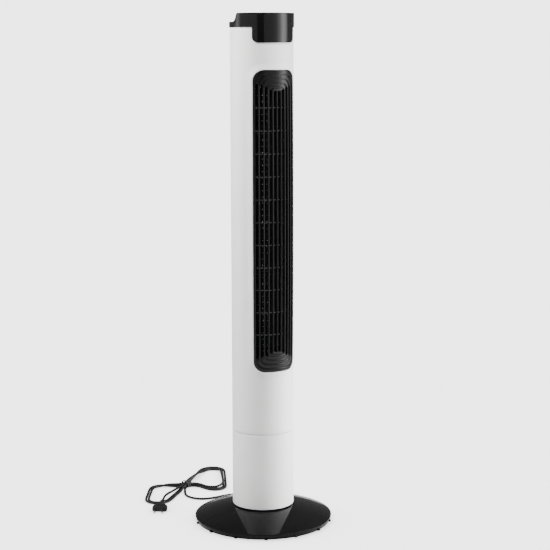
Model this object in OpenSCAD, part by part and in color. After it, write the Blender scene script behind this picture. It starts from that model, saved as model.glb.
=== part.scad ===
// Tower fan: a round white column that swings on a glossy black domed foot.
// Millimetres. +Z is up, the air outlet faces -Y, and the origin is the middle of the
// standing plane under the foot.

/* [Column] */
// Overall height, floor to the top of the cap
overall_h = 1170; // [1150:1:1180]
// Outer diameter of the white column
column_d = 142; // [140:0.5:146]
// Wall thickness of the column shells
shell_wall = 2.5; // [2:0.1:3]
// Height of the joint between the lower tube and the main housing
joint_z = 220; // [212:1:228]

/* [Foot] */
// Diameter of the domed foot
foot_d = 319; // [312:1:326]
// Height of the dome's crown, if it were closed
crown_z = 46; // [46]
// Height of the foot's widest line above the floor
rim_z = 14; // [13:0.5:15]
// Small moulded wedges around each half of the foot
wedges_per_half = 7; // [5:1:9]

/* [Cap] */
// Diameter of the black cap
cap_d = 145.4; // [144:0.1:148]
// Height of the line where the white shells end and the cap begins
cap_z = 1139; // [1139]
// Height of the lower deck behind the control head
deck_z = 1151; // [1149:0.5:1153]
// Lowest point of the black tongue on the front
tongue_z = 1105; // [1100:1:1110]
// Push buttons on the control head
button_count = 5; // [5]
// Travel of a push button
button_travel = 1.2; // [0.8:0.1:1.3]

/* [Outlet] */
// Half the angle that the outlet grille spans
outlet_half_deg = 44.5; // [43:0.5:45]
// Bottom of the outlet grille
outlet_low = 367; // [360:1:375]
// Top of the outlet grille
outlet_high = 1046; // [1040:1:1050]
// Corner radius of the outlet grille
outlet_corner = 23; // [18:1:26]
// Angle between two neighbouring ribs
rib_step_deg = 8.3; // [8:0.1:8.5]
// Horizontal stiffening wires behind the ribs
wire_count = 11; // [7:1:13]

/* [Air mover] */
// Radius of the cross-flow impeller
impeller_r = 44; // [40:0.5:44.5]
// Blades around the impeller
blade_count = 24; // [18:1:30]
// Stiffening rings along the impeller
ring_count = 9; // [5:1:12]

/* [Swing drive] */
// Tooth size (module) of the swing gears
gear_module = 1.5; // [1.5]
// Teeth on the fixed gear
fixed_teeth = 32; // [32]
// Teeth on the motor's pinion
pinion_teeth = 12; // [12]

/* [Mains cord] */
// Diameter of the round mains cord
cord_d = 6; // [5:0.2:6.4]
// Width of the plug's head
plug_w = 36; // [34:1:38]

/* [Hidden] */
$fn = 64;
eps = 0.01;

column_r = column_d / 2;
inner_r = column_r - shell_wall;
cap_r = cap_d / 2;
foot_r = foot_d / 2;
foot_wall = 2.6;
dome_r = (foot_r * foot_r + pow(crown_z - rim_z, 2)) / (2 * (crown_z - rim_z));
skirt_z = 2;
skirt_in = 3.5;
rim_band = 1.5;
rib_inset = 1.2;
pad_h = 3;
pad_ring_r = 138;

hub_hole_r = 55;
hub_flange_r = 67;
hub_top = 45;
hub_screw_r = 44;
spindle_r = 12;
spindle_bore_r = 8;
spindle_top = 92;
ballast_z = 10;
ballast_h = 4;

tube_low = hub_top + 1;
joint_gap = 0.8;
floor_z = 47;
floor_h = 4;
run_gap = 0.05;
sleeve_top = 62;
gear_z = 64;
gear_h = 8;
motor_plate_z = 74;

fixed_gear_r = gear_module * fixed_teeth / 2;
pinion_r = gear_module * pinion_teeth / 2;
gear_gap = 0.12;
pinion_y = fixed_gear_r + pinion_r + gear_gap;

impeller_y = 8;
impeller_low = 334;
impeller_high = 1004;
lower_plate_z = 322;
upper_plate_z = 1014;
plate_h = 4;
shaft_r = 4;
pin_r = 3;

screw_x = 50;
screw_rows = [240, 300, 1035, 1127];
grip_half_w = 38;
grip_low = 1064;
grip_high = 1100;
grip_depth_y = 42;

head_wall_y = -18;
roof_h = 2.5;
inlay_h = 1.4;
roof_z = overall_h - 2;
button_y = -44;
button_step = 16;
button_r = 5.5;
button_gap = 0.5;
board_z = 1143;
board_h = 1.6;
switch_h = 3.9;
press_gap = 0.5;
stem_low = board_z + board_h + switch_h + press_gap + button_travel;
loom_x = -62;

gland_x = 32;
gland_z = 8;
gland_tip_y = 164;
hank_h = 13;
plug_start = [-165, 205.5, 13.4];
plug_heading = -124;
plug_tip = 7;

// Route of the cord from the gland to the tied hank, chosen by hand.
lead_route = [
    [32, 164, 8], [32, 170, 7.4], [30, 178, 6], [24, 186, 4.4], [14, 191, 3.4],
    [0, 193, 3.1], [-20, 191, 3.1], [-40, 189, 3.1], [-58, 191, 3.1], [-72, 198, 3.1],
    [-82, 210, 3.1], [-88, 226, 3.1], [-88, 244, 3.1], [-84, 262, 3.1], [-77, 280, 3.1]
];
// Route of the cord from the hank over the small loop to the plug, chosen by hand.
tail_route = [
    [-72, 302, 9], [-82, 293, 13], [-94, 283, 15.6], [-110, 270, 16.4], [-126, 257, 16.4],
    [-141, 243, 16.3], [-153, 226, 15.9], [-165, 205.5, 13.4]
];
// Route of the lead inside the foot, from the gland up the hollow spindle.
inner_route = [
    [gland_x, 142, gland_z], [gland_x, 128, 7], [26, 90, 6], [14, 45, 6], [4, 14, 7],
    [0, 2, 14], [0, 0, 28], [0, 0, 60], [0, 0, spindle_top + 2]
];
// Route of the wiring from the spindle up the inside of the column.
loom_route = [
    [0, 0, spindle_top + 5], [0, 0, 112], [-8, 0, 128], [-24, 0, 134], [-46, 0, 138],
    [-58, 0, 150], [loom_x, 0, 168], [loom_x, 0, 300], [loom_x, 0, 620], [loom_x, 0, 940],
    [loom_x, 0, board_z - 4]
];

gloss_black = "#18181a";
satin_white = "#e6e6e4";
dark_grey = "#3a3b3e";
metal = "#b9bcc0";
cream = "#d9d6cc";
board_green = "#2f6b45";

// ---- Helpers ----

// A flat ring that stands on z.
module ring(r_in, r_out, z, h) {
    translate([0, 0, z])
        difference() {
            cylinder(r = r_out, h = h);
            translate([0, 0, -1]) cylinder(r = r_in, h = h + 2);
        }
}

// A wall that bends round the Z axis: centred on the direction mid_deg.
module arc_wall(r_in, r_out, z, h, mid_deg, half_deg) {
    rotate([0, 0, mid_deg - half_deg])
        translate([0, 0, z])
            rotate_extrude(angle = 2 * half_deg)
                translate([r_in, 0]) square([r_out - r_in, h]);
}

// A rectangle with round corners, centred on x, from low to high.
module round_rect(half_w, low, high, r) {
    translate([-half_w + r, low]) square([2 * (half_w - r), high - low]);
    translate([-half_w, low + r]) square([2 * half_w, high - low - 2 * r]);
    for (x = [-half_w + r, half_w - r], z = [low + r, high - r])
        translate([x, z]) circle(r = r);
}

// That rectangle as a block that points to the front or the back of the column.
module face_block(half_w, low, high, r, side) {
    translate([0, side > 0 ? 100 : -5, 0])
        rotate([90, 0, 0])
            linear_extrude(95) round_rect(half_w, low, high, r);
}

// Points of a smooth curve through a route, for the cord's tube.
function curve_point(p, i, t) =
    let (a = p[max(i - 1, 0)], b = p[i], c = p[i + 1], d = p[min(i + 2, len(p) - 1)])
    0.5 * (2 * b + (c - a) * t + (2 * a - 5 * b + 4 * c - d) * t * t
        + (3 * b - a - 3 * c + d) * t * t * t);
function smooth_route(p, n) = concat(
    [for (i = [0 : len(p) - 2], k = [0 : n - 1]) curve_point(p, i, k / n)],
    [p[len(p) - 1]]);
function unit(v) = v / norm(v);
function tangent(q, i) = unit(q[min(i + 1, len(q) - 1)] - q[max(i - 1, 0)]);

// A round tube of radius r swept along a route, as one closed polyhedron. The route never
// runs along the direction across.
module cord_tube(route, r, sides, across) {
    q = smooth_route(route, 2);
    rings = len(q);
    points = [for (i = [0 : rings - 1])
        let (t = tangent(q, i), s = unit(cross(across, t)), u = cross(t, s))
        for (k = [0 : sides - 1])
            q[i] + r * (cos(360 * k / sides) * s + sin(360 * k / sides) * u)];
    walls = [for (i = [0 : rings - 2], k = [0 : sides - 1])
        [i * sides + k, (i + 1) * sides + k,
         (i + 1) * sides + (k + 1) % sides, i * sides + (k + 1) % sides]];
    first_face = [[for (k = [0 : sides - 1]) k]];
    last_face = [[for (k = [sides - 1 : -1 : 0]) (rings - 1) * sides + k]];
    polyhedron(points, concat(walls, first_face, last_face));
}

// Involute of a base circle, t in degrees along it.
function involute(base_r, t) =
    [base_r * (cos(t) + t * PI / 180 * sin(t)), base_r * (sin(t) - t * PI / 180 * cos(t))];
function turned(p, a) = [p.x * cos(a) - p.y * sin(a), p.x * sin(a) + p.y * cos(a)];
function roll_to(base_r, r) = sqrt(pow(r / base_r, 2) - 1) * 180 / PI;
function flank_angle(base_r, r) =
    let (p = involute(base_r, roll_to(base_r, r))) atan2(p.y, p.x);

// Outline of a spur gear with 20 degree teeth, one tooth centred on first_deg.
module gear_outline(teeth, first_deg) {
    pitch_r = gear_module * teeth / 2;
    base_r = pitch_r * cos(20);
    tip_r = pitch_r + 0.8 * gear_module;
    root_r = pitch_r - 1.15 * gear_module;
    low_r = max(base_r, root_r) + eps;
    half_tooth = 90 / teeth - 2.2 / pitch_r;
    base_half = half_tooth + flank_angle(base_r, pitch_r);
    steps = [for (k = [0 : 3]) low_r + (tip_r - low_r) * k / 3];
    polygon([for (i = [0 : teeth - 1])
        let (mid = first_deg + 360 * i / teeth)
        for (p = concat(
            [root_r * [cos(base_half), -sin(base_half)]],
            [for (r = steps) turned(involute(base_r, roll_to(base_r, r)), -base_half)],
            [for (k = [3 : -1 : 0])
                let (p = turned(involute(base_r, roll_to(base_r, steps[k])), -base_half))
                [p.x, -p.y]],
            [root_r * [cos(base_half), sin(base_half)]]))
            turned(p, mid)]);
}

// ---- Foot ----

// Half section of the dome, with its wall taken in by t.
module dome_section(t) {
    low = t > 0 ? 0 : skirt_z;
    intersection() {
        translate([0, crown_z - dome_r]) circle(r = dome_r - t, $fn = 256);
        polygon([[0, low], [foot_r - skirt_in - t, low], [foot_r - t, rim_z - rim_band],
            [foot_r - t, crown_z + 5], [0, crown_z + 5]]);
    }
}

module dome_half(t) {
    rotate([0, 0, 180]) rotate_extrude(angle = 180, $fn = 128) dome_section(t);
}

// The front half of the foot: shell, seam rib, foot bosses and moulded wedges. The back half
// is the same moulding turned round, with whatever children add inside it.
module base_half(boss_angles) {
    difference() {
        union() {
            difference() {
                dome_half(0);
                dome_half(foot_wall);
            }
            intersection() {
                dome_half(rib_inset);
                union() {
                    for (side = [-1, 1])
                        translate([side * 108 - 44, -2.5, 15]) cube([88, 2.5, 30]);
                    for (a = boss_angles)
                        rotate([0, 0, a]) translate([pad_ring_r, 0, pad_h])
                            cylinder(r = 9, h = 30);
                    children();
                }
            }
            for (i = [0 : wedges_per_half - 1])
                rotate([0, 0, 180 + (i + 0.5) * 180 / wedges_per_half])
                    translate([foot_r - 5, -4, skirt_z])
                        rotate([90, 0, 90]) linear_extrude(6)
                            polygon([[0, 0], [8, 0], [6.5, 5], [1.5, 5]]);
        }
        translate([0, 0, -1]) cylinder(r = hub_hole_r, h = 60);
        for (x = [-110, -72, 72, 110])
            translate([x, 10, 20]) rotate([90, 0, 0]) cylinder(r = 1.6, h = 20);
    }
}

module base_front_half() {
    color(gloss_black) base_half([-25, -90, -155]);
}

module base_rear_half() {
    color(gloss_black)
        rotate([0, 0, 180])
            difference() {
                base_half([-25, -75, -155])
                    translate([-gland_x - 14, -141, skirt_z]) cube([28, 3, 24]);
                translate([-gland_x, -125, gland_z]) rotate([90, 0, 0])
                    cylinder(r = 5.5, h = 20);
                translate([-gland_x - 8, -180, 0]) cube([16, 36, 13]);
            }
}

module base_join_screws() {
    color(metal)
        for (x = [-110, -72, 72, 110])
            translate([x, 0, 20]) {
                translate([0, 2.5, 0]) rotate([90, 0, 0]) cylinder(r = 1.55, h = 12);
                translate([0, 4.8, 0]) rotate([90, 0, 0]) cylinder(r = 3.2, h = 2.3);
            }
}

module rubber_feet() {
    color(dark_grey)
        for (a = [-25, -90, -155, 25, 105, 155])
            rotate([0, 0, a]) translate([pad_ring_r, 0, 0]) cylinder(r = 8.5, h = pad_h);
}

module base_ballast() {
    color(metal)
        difference() {
            ring(30, 126, ballast_z, ballast_h);
            for (a = [45 : 90 : 315])
                rotate([0, 0, a]) translate([hub_screw_r, 0, ballast_z - 1])
                    cylinder(r = 2.2, h = ballast_h + 2);
        }
}

module pivot_hub() {
    color(gloss_black)
        difference() {
            union() {
                translate([0, 0, 42.4]) cylinder(r = hub_flange_r, h = hub_top - 42.4);
                ring(51, hub_hole_r - 0.2, ballast_z + ballast_h, 30);
                for (a = [45 : 90 : 315])
                    rotate([0, 0, a]) translate([hub_screw_r, 0, ballast_z + ballast_h])
                        cylinder(r = 5, h = 30);
                translate([0, 0, hub_top - 1]) cylinder(r = spindle_r, h = spindle_top - hub_top + 1);
            }
            translate([0, 0, 40]) cylinder(r = spindle_bore_r, h = 60);
            for (a = [45 : 90 : 315])
                rotate([0, 0, a]) translate([hub_screw_r, 0, 10]) cylinder(r = 2, h = 26);
        }
}

module pivot_screws() {
    color(metal)
        for (a = [45 : 90 : 315])
            rotate([0, 0, a]) translate([hub_screw_r, 0, 0]) {
                translate([0, 0, 7.5]) cylinder(r = 4, h = 2.5);
                translate([0, 0, 9]) cylinder(r = 1.95, h = 24);
            }
}

module slide_washer() {
    color(cream) ring(spindle_r + 4, 52, hub_top, 1.9);
}

module spindle_clip() {
    color(metal) ring(spindle_r, 15, gear_z + gear_h + 0.2, 1.3);
}

module swing_gear() {
    color(cream)
        difference() {
            translate([0, 0, gear_z]) linear_extrude(gear_h) gear_outline(fixed_teeth, 90);
            translate([0, 0, gear_z - 1]) cylinder(r = spindle_r, h = gear_h + 2);
        }
}

// ---- Mains cord ----

module cord_gland() {
    color(dark_grey)
        translate([gland_x, 0, gland_z])
            rotate([-90, 0, 0])
                difference() {
                    union() {
                        translate([0, 0, 134]) cylinder(r = 7, h = 4);
                        translate([0, 0, 138]) cylinder(r = 5.45, h = 4);
                        translate([0, 0, 142]) cylinder(r1 = 5.45, r2 = 3.8, h = gland_tip_y - 142);
                    }
                    translate([0, 0, 130]) cylinder(r = 2.6, h = 12);
                }
}

module inner_lead() {
    color(dark_grey)
        cord_tube(inner_route, 2.5, 8, [1, 0, 0]);
}

module mains_cord() {
    color(gloss_black) cord_tube(lead_route, cord_d / 2, 10, [0, 0, 1]);
}

module cord_tail() {
    color(gloss_black) cord_tube(tail_route, cord_d / 2, 10, [0, 0, 1]);
}

// The two lobes of the tied bow, each the outer shape of its turns.
module cord_hank() {
    color(gloss_black)
        linear_extrude(hank_h) {
            hull() {
                translate([60, 398]) circle(r = 36);
                translate([-8, 268]) circle(r = 36);
                translate([-52, 311]) circle(r = 11);
            }
            hull() {
                translate([-108, 328]) circle(r = 36);
                translate([-164, 240]) circle(r = 34);
                translate([-60, 308]) circle(r = 11);
            }
        }
}

module cord_tie() {
    color(dark_grey)
        translate([-56, 310, 0])
            rotate([0, 0, 22])
                difference() {
                    translate([-4, -14, 0]) cube([8, 28, hank_h + 1]);
                    translate([-5, -12, 0.8]) cube([10, 24, hank_h - 0.6]);
                }
}

// The plug's own frame: +X runs from the cord's end to the pins.
module plug_place() {
    translate(plug_start) rotate([0, plug_tip, plug_heading]) children();
}

module plug_body() {
    neck = [[12, 6], [16, 6], [16, 5.4], [24, 6.2], [31, 9], [37, 14], [40, plug_w / 2]];
    outline = concat(neck, [[55, plug_w / 2]]);
    mirrored = [for (i = [len(outline) - 1 : -1 : 0]) [outline[i].x, -outline[i].y]];
    color(gloss_black)
        plug_place()
            union() {
                rotate([0, 90, 0]) cylinder(r1 = 3.6, r2 = 5, h = 12 + eps);
                translate([0, 0, -6.6]) linear_extrude(13.2) polygon(concat(outline, mirrored));
            }
}

module plug_pins() {
    color(metal)
        plug_place()
            for (side = [-1, 1])
                translate([55, side * 9.3, 0]) rotate([0, 90, 0]) cylinder(r = 2, h = 19);
}

// ---- Lower column, which swings on the foot ----

module lower_tube() {
    color(satin_white) ring(inner_r, column_r, tube_low, joint_z - joint_gap - tube_low);
}

module tower_floor() {
    color(dark_grey)
        difference() {
            union() {
                translate([0, 0, floor_z]) cylinder(r = inner_r, h = floor_h);
                translate([0, 0, floor_z]) cylinder(r = 18, h = sleeve_top - floor_z);
                for (x = [-22, 22])
                    translate([x, 47, floor_z]) cylinder(r = 4, h = motor_plate_z - floor_z);
                for (a = [0, 120, 240])
                    rotate([0, 0, a + 30]) translate([60, 0, floor_z]) cylinder(r = 6, h = 16);
            }
            translate([0, 0, floor_z - 1]) cylinder(r = spindle_r + run_gap, h = 40);
            for (a = [0, 120, 240])
                rotate([0, 0, a + 30]) translate([40, 0, floor_z + 11])
                    rotate([0, 90, 0]) cylinder(r = 1.6, h = 40);
        }
}

module floor_screws() {
    color(metal)
        for (a = [0, 120, 240])
            rotate([0, 0, a + 30]) translate([0, 0, floor_z + 11]) rotate([0, 90, 0])
                translate([0, 0, 56]) cylinder(r = 1.55, h = inner_r - 56);
}

module tube_collar() {
    color(satin_white) ring(65.8, inner_r, joint_z - 15, 28);
}

module motor_bracket() {
    color(metal)
        difference() {
            translate([-28, 21, motor_plate_z]) cube([56, 31, 2]);
            translate([0, pinion_y, motor_plate_z - 1]) cylinder(r = pin_r + 0.6, h = 4);
        }
}

module swing_motor() {
    color(metal)
        difference() {
            translate([0, pinion_y, motor_plate_z + 2]) cylinder(r = 17.5, h = 18);
            translate([0, pinion_y, motor_plate_z + 1]) cylinder(r = pin_r + run_gap, h = 11);
        }
}

module swing_pinion() {
    color(cream) {
        translate([0, pinion_y, gear_z + 0.5])
            linear_extrude(gear_h - 1) gear_outline(pinion_teeth, 270 + 180 / pinion_teeth);
        translate([0, pinion_y, gear_z + 0.5]) cylinder(r = pin_r, h = motor_plate_z + 9 - gear_z);
    }
}

module power_board() {
    color(board_green) translate([-32, 40, 140]) cube([64, 1.6, 60]);
    color(dark_grey) {
        translate([-26, 20, 150]) cube([22, 20, 18]);
        translate([4, 26, 150]) cube([16, 14, 34]);
        translate([-20, 32, 186]) rotate([-90, 0, 0]) cylinder(r = 5, h = 8);
    }
}

// ---- Main housing ----

// Screw bosses along Y, from the place y towards the front, that end inside the wall.
module shell_bosses(y, r, length) {
    intersection() {
        for (x = [-screw_x, screw_x], z = screw_rows)
            translate([x, y, z]) rotate([90, 0, 0]) cylinder(r = r, h = length);
        translate([0, 0, joint_z]) cylinder(r = column_r - 0.5, h = cap_z - joint_z);
    }
}

module front_shell() {
    color(satin_white)
        difference() {
            union() {
                arc_wall(inner_r, column_r, joint_z, cap_z - joint_z, -90, 90);
                shell_bosses(38, 4, 90);
            }
            face_block(column_r * sin(outlet_half_deg), outlet_low, outlet_high, outlet_corner, -1);
            face_block(24, tongue_z + 5, cap_z - 6, 3, -1);
            for (x = [-screw_x, screw_x], z = screw_rows)
                translate([x, 39, z]) rotate([90, 0, 0]) cylinder(r = 1.6, h = 33);
        }
}

// Slots of the air inlet in the rear shell.
module inlet_slots() {
    rows = 46;
    low = 330;
    pitch = 14.6;
    for (row = [0 : rows - 1], column = [-1, 0, 1])
        arc_wall(inner_r - 3, column_r + 3, low + row * pitch, 5, 90 + column * 33, 14);
}

module rear_shell() {
    color(satin_white)
        difference() {
            union() {
                arc_wall(inner_r, column_r, joint_z, cap_z - joint_z, 90, 90);
                shell_bosses(55, 6, 16.5);
            }
            inlet_slots();
            face_block(grip_half_w + 2, grip_low - 2, grip_high + 2, 8, 1);
            for (x = [-screw_x, screw_x], z = screw_rows) {
                translate([x, 60, z]) rotate([90, 0, 0]) cylinder(r = 1.8, h = 30);
                translate([x, 60, z]) rotate([90, 0, 0]) cylinder(r = 3.8, h = 16);
            }
        }
}

module shell_screws() {
    color(metal)
        for (x = [-screw_x, screw_x], z = screw_rows)
            translate([x, 0, z]) rotate([-90, 0, 0]) {
                translate([0, 0, 10]) cylinder(r = 1.55, h = 34.5);
                translate([0, 0, 44]) cylinder(r = 3.5, h = 2.4);
            }
}

// The outlet grille: a curved plate with one slot between each pair of ribs.
module front_grille() {
    slot_deg = 5;
    inner_offset = 32;
    nest_step = 2.6;
    color(gloss_black)
        difference() {
            intersection() {
                arc_wall(inner_r, column_r + 1, outlet_low, outlet_high - outlet_low, -90,
                    outlet_half_deg);
                face_block(column_r * sin(outlet_half_deg) - 0.3, outlet_low + 0.3,
                    outlet_high - 0.3, outlet_corner, -1);
            }
            for (side = [-1, 1], k = [0 : 4]) {
                low = outlet_low + inner_offset + nest_step * (4 - k);
                high = outlet_high - inner_offset - nest_step * (4 - k);
                arc_wall(inner_r - 3, column_r + 4, low, high - low,
                    -90 + side * (k + 0.5) * rib_step_deg, slot_deg / 2);
            }
        }
}

module grille_wires() {
    wire_low = 453;
    wire_pitch = 51;
    wire_r = 1;
    wire_ring = inner_r - wire_r;
    half_deg = outlet_half_deg - 3;
    color(dark_grey) {
        for (i = [0 : wire_count - 1])
            translate([0, 0, wire_low + i * wire_pitch])
                rotate([0, 0, -90 - half_deg])
                    rotate_extrude(angle = 2 * half_deg)
                        translate([wire_ring, 0]) circle(r = wire_r, $fn = 24);
        for (side = [-1, 1])
            rotate([0, 0, -90 + side * half_deg])
                translate([wire_ring - 1, -1.5, outlet_low + 40])
                    cube([1.8, 3, outlet_high - outlet_low - 80]);
    }
}

// The moulded hand grip in the back: a cup that opens to the rear.
module grip_cup() {
    color(satin_white)
        difference() {
            translate([-grip_half_w - 2, grip_depth_y - 2, grip_low - 2])
                cube([2 * grip_half_w + 4, 62 - grip_depth_y, grip_high - grip_low + 4]);
            translate([-grip_half_w, grip_depth_y, grip_low])
                cube([2 * grip_half_w, 40, grip_high - grip_low]);
            difference() {
                translate([-60, 20, grip_low - 5]) cube([120, 60, 60]);
                translate([0, 0, grip_low - 6]) cylinder(r = inner_r - eps, h = 62);
            }
        }
}

// A round plate across the housing, with a middle hole and a way for the wiring.
module cross_plate(z, hole_r, hole_y) {
    difference() {
        translate([0, 0, z]) cylinder(r = inner_r - 0.1, h = plate_h);
        translate([0, hole_y, z - 1]) cylinder(r = hole_r, h = plate_h + 2);
        translate([loom_x, 0, z - 1]) cylinder(r = 3.2, h = plate_h + 2);
    }
}

module lower_plate() {
    color(dark_grey)
        difference() {
            cross_plate(lower_plate_z, 9, impeller_y);
            for (a = [45 : 90 : 315])
                translate([0, impeller_y, lower_plate_z - 1]) rotate([0, 0, a])
                    translate([28, 0, 0]) cylinder(r = 2.1, h = plate_h + 2);
        }
}

module upper_plate() {
    color(dark_grey) cross_plate(upper_plate_z, 14, impeller_y);
}

module scroll_duct() {
    color(dark_grey)
        translate([0, impeller_y, 0])
            arc_wall(50, 52, lower_plate_z + plate_h, upper_plate_z - lower_plate_z - plate_h,
                170, 45);
}

module air_cutoff() {
    color(dark_grey)
        translate([0, impeller_y, lower_plate_z + plate_h])
            linear_extrude(upper_plate_z - lower_plate_z - plate_h)
                polygon([[46, -14], [48, -22], [51, -34], [48, -36], [44, -24]]);
}

module fan_motor() {
    color(metal)
        difference() {
            union() {
                translate([0, impeller_y, lower_plate_z - 66]) cylinder(r = 36, h = 60);
                translate([0, impeller_y, lower_plate_z - 8]) cylinder(r = 14, h = 8);
                for (a = [45 : 90 : 315])
                    translate([0, impeller_y, lower_plate_z - 8]) rotate([0, 0, a])
                        translate([28, 0, 0]) cylinder(r = 4, h = 8);
            }
            translate([0, impeller_y, lower_plate_z - 26])
                cylinder(r = shaft_r + run_gap, h = 40);
            for (a = [45 : 90 : 315])
                translate([0, impeller_y, lower_plate_z - 12]) rotate([0, 0, a])
                    translate([28, 0, 0]) cylinder(r = 1.6, h = 20);
        }
}

module motor_screws() {
    color(metal)
        for (a = [45 : 90 : 315])
            translate([0, impeller_y, 0]) rotate([0, 0, a]) translate([28, 0, 0]) {
                translate([0, 0, lower_plate_z - 10]) cylinder(r = 1.55, h = 15);
                translate([0, 0, lower_plate_z + plate_h]) cylinder(r = 3.2, h = 2.2);
            }
}

module bearing_holder() {
    color(dark_grey) translate([0, impeller_y, 0]) ring(7, 14, upper_plate_z, 8);
}

module top_bush() {
    color(metal) translate([0, impeller_y, 0]) ring(pin_r + run_gap, 7, upper_plate_z, 8);
}

module wiring_loom() {
    color(dark_grey)
        cord_tube(loom_route, 2.5, 8, [0, 1, 0]);
}

// ---- Impeller ----

module impeller() {
    ring_pitch = (impeller_high - impeller_low - 3) / (ring_count - 1);
    blade_in = impeller_r - 8;
    color(dark_grey)
        translate([0, impeller_y, 0])
            difference() {
                union() {
                    translate([0, 0, impeller_low])
                        linear_extrude(impeller_high - impeller_low)
                            for (i = [0 : blade_count - 1])
                                rotate(360 * i / blade_count)
                                    polygon([[blade_in, 0], [blade_in + 4, 1.2], [impeller_r - 0.4, 4],
                                        [impeller_r - 0.9, 5], [blade_in + 4, 2.4], [blade_in, 1.2]]);
                    for (i = [1 : ring_count - 2])
                        ring(blade_in - 1, impeller_r, impeller_low + i * ring_pitch, 1.6);
                    for (z = [impeller_low, impeller_high - 3])
                        translate([0, 0, z]) cylinder(r = impeller_r, h = 3);
                    translate([0, 0, impeller_low]) cylinder(r = 9, h = 14);
                    translate([0, 0, impeller_high - 14]) cylinder(r = 8, h = 14);
                }
                translate([0, 0, impeller_low - 1]) cylinder(r = shaft_r, h = 16);
                translate([0, 0, impeller_high - 15]) cylinder(r = pin_r, h = 16);
            }
}

module motor_shaft() {
    color(metal)
        translate([0, impeller_y, lower_plate_z - 25])
            cylinder(r = shaft_r, h = impeller_low + 15 - lower_plate_z + 25);
}

module top_pin() {
    color(metal)
        translate([0, impeller_y, impeller_high - 15])
            cylinder(r = pin_r, h = upper_plate_z + 7 - impeller_high + 15);
}

// ---- Cap and controls ----

// Side view of the cap's body (y to the right, z up), taken in by t.
function head_curve(t) = [for (k = [0 : 6])
    let (a = k * 10)
    [-t * 0.6 - 18 * sin(a), deck_z - t + (1 - cos(a)) * 22]];

module cap_side(t) {
    polygon(concat(
        [[-80, cap_z - 5], [80, cap_z - 5], [80, deck_z - t]],
        head_curve(t),
        [[head_wall_y - t, overall_h - 4], [head_wall_y - t, overall_h - t], [-80, overall_h - t]]));
}

module cap_block(t, r) {
    intersection() {
        translate([-90, 0, 0]) rotate([90, 0, 90]) linear_extrude(180) cap_side(t);
        translate([0, 0, cap_z]) cylinder(r = r, h = 60);
    }
}

module top_cap() {
    color(gloss_black)
        difference() {
            union() {
                difference() {
                    cap_block(0, cap_r);
                    difference() {
                        cap_block(roof_h, inner_r + 1);
                        translate([-80, -80, roof_z - roof_h]) cube([160, 160, 10]);
                    }
                }
                intersection() {
                    arc_wall(column_r, cap_r, tongue_z, cap_z - tongue_z + 1, -90, 90);
                    face_block(cap_r * sin(outlet_half_deg), tongue_z, cap_z + 20, 11, -1);
                }
                for (x = [-42, 42])
                    translate([x, -32, board_z + board_h]) cylinder(r = 3, h = 22);
            }
            intersection() {
                translate([0, 0, roof_z]) cylinder(r = cap_r - 3, h = 10);
                translate([-80, -80, roof_z]) cube([160, 80 + head_wall_y - 3, 10]);
            }
            button_holes(button_r + button_gap);
        }
}

module button_holes(r) {
    for (i = [0 : button_count - 1])
        translate([(i - (button_count - 1) / 2) * button_step, button_y, roof_z - 10])
            cylinder(r = r, h = 20);
}

module button_inlay() {
    color(gloss_black)
        difference() {
            intersection() {
                translate([0, 0, roof_z]) cylinder(r = cap_r - 3.1, h = inlay_h);
                translate([-80, -80, roof_z]) cube([160, 80 + head_wall_y - 3.1, inlay_h]);
            }
            button_holes(button_r + button_gap);
        }
}

module push_button(i) {
    color(dark_grey)
        translate([(i - (button_count - 1) / 2) * button_step, button_y, 0]) {
            translate([0, 0, roof_z - roof_h - 0.6]) cylinder(r = button_r, h = overall_h - roof_z + roof_h + 0.6);
            translate([0, 0, roof_z - roof_h - 2.7]) cylinder(r = 7.4, h = 2.1);
            translate([0, 0, stem_low]) cylinder(r = 2, h = roof_z - roof_h - 2.7 - stem_low);
        }
}

module button_power() { push_button(0); }
module button_speed() { push_button(1); }
module button_mode() { push_button(2); }
module button_timer() { push_button(3); }
module button_swing() { push_button(4); }

module control_board() {
    color(board_green)
        intersection() {
            translate([-52, -62, board_z]) cube([104, 44, board_h]);
            translate([0, 0, board_z]) cylinder(r = 66, h = board_h);
        }
}

module tact_switches() {
    color(metal)
        for (i = [0 : button_count - 1])
            translate([(i - (button_count - 1) / 2) * button_step, button_y, board_z + board_h]) {
                translate([-3, -3, 0]) cube([6, 6, 3]);
                cylinder(r = 1.7, h = switch_h);
            }
}

module display_board() {
    color(board_green) translate([-30, -60, tongue_z + 3]) cube([60, 1.6, 30]);
    color("black") translate([-18, -62.4, tongue_z + 10]) cube([36, 2.4, 16]);
}

base_front_half();
base_rear_half();
base_join_screws();
rubber_feet();
base_ballast();
pivot_hub();
pivot_screws();
slide_washer();
spindle_clip();
swing_gear();
cord_gland();
inner_lead();
mains_cord();
cord_hank();
cord_tie();
cord_tail();
plug_body();
plug_pins();
lower_tube();
tower_floor();
floor_screws();
tube_collar();
motor_bracket();
swing_motor();
swing_pinion();
power_board();
front_shell();
rear_shell();
shell_screws();
front_grille();
grille_wires();
grip_cup();
lower_plate();
upper_plate();
scroll_duct();
air_cutoff();
fan_motor();
motor_screws();
bearing_holder();
top_bush();
wiring_loom();
impeller();
motor_shaft();
top_pin();
top_cap();
button_inlay();
control_board();
tact_switches();
display_board();
button_power();
button_speed();
button_mode();
button_timer();
button_swing();
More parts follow.
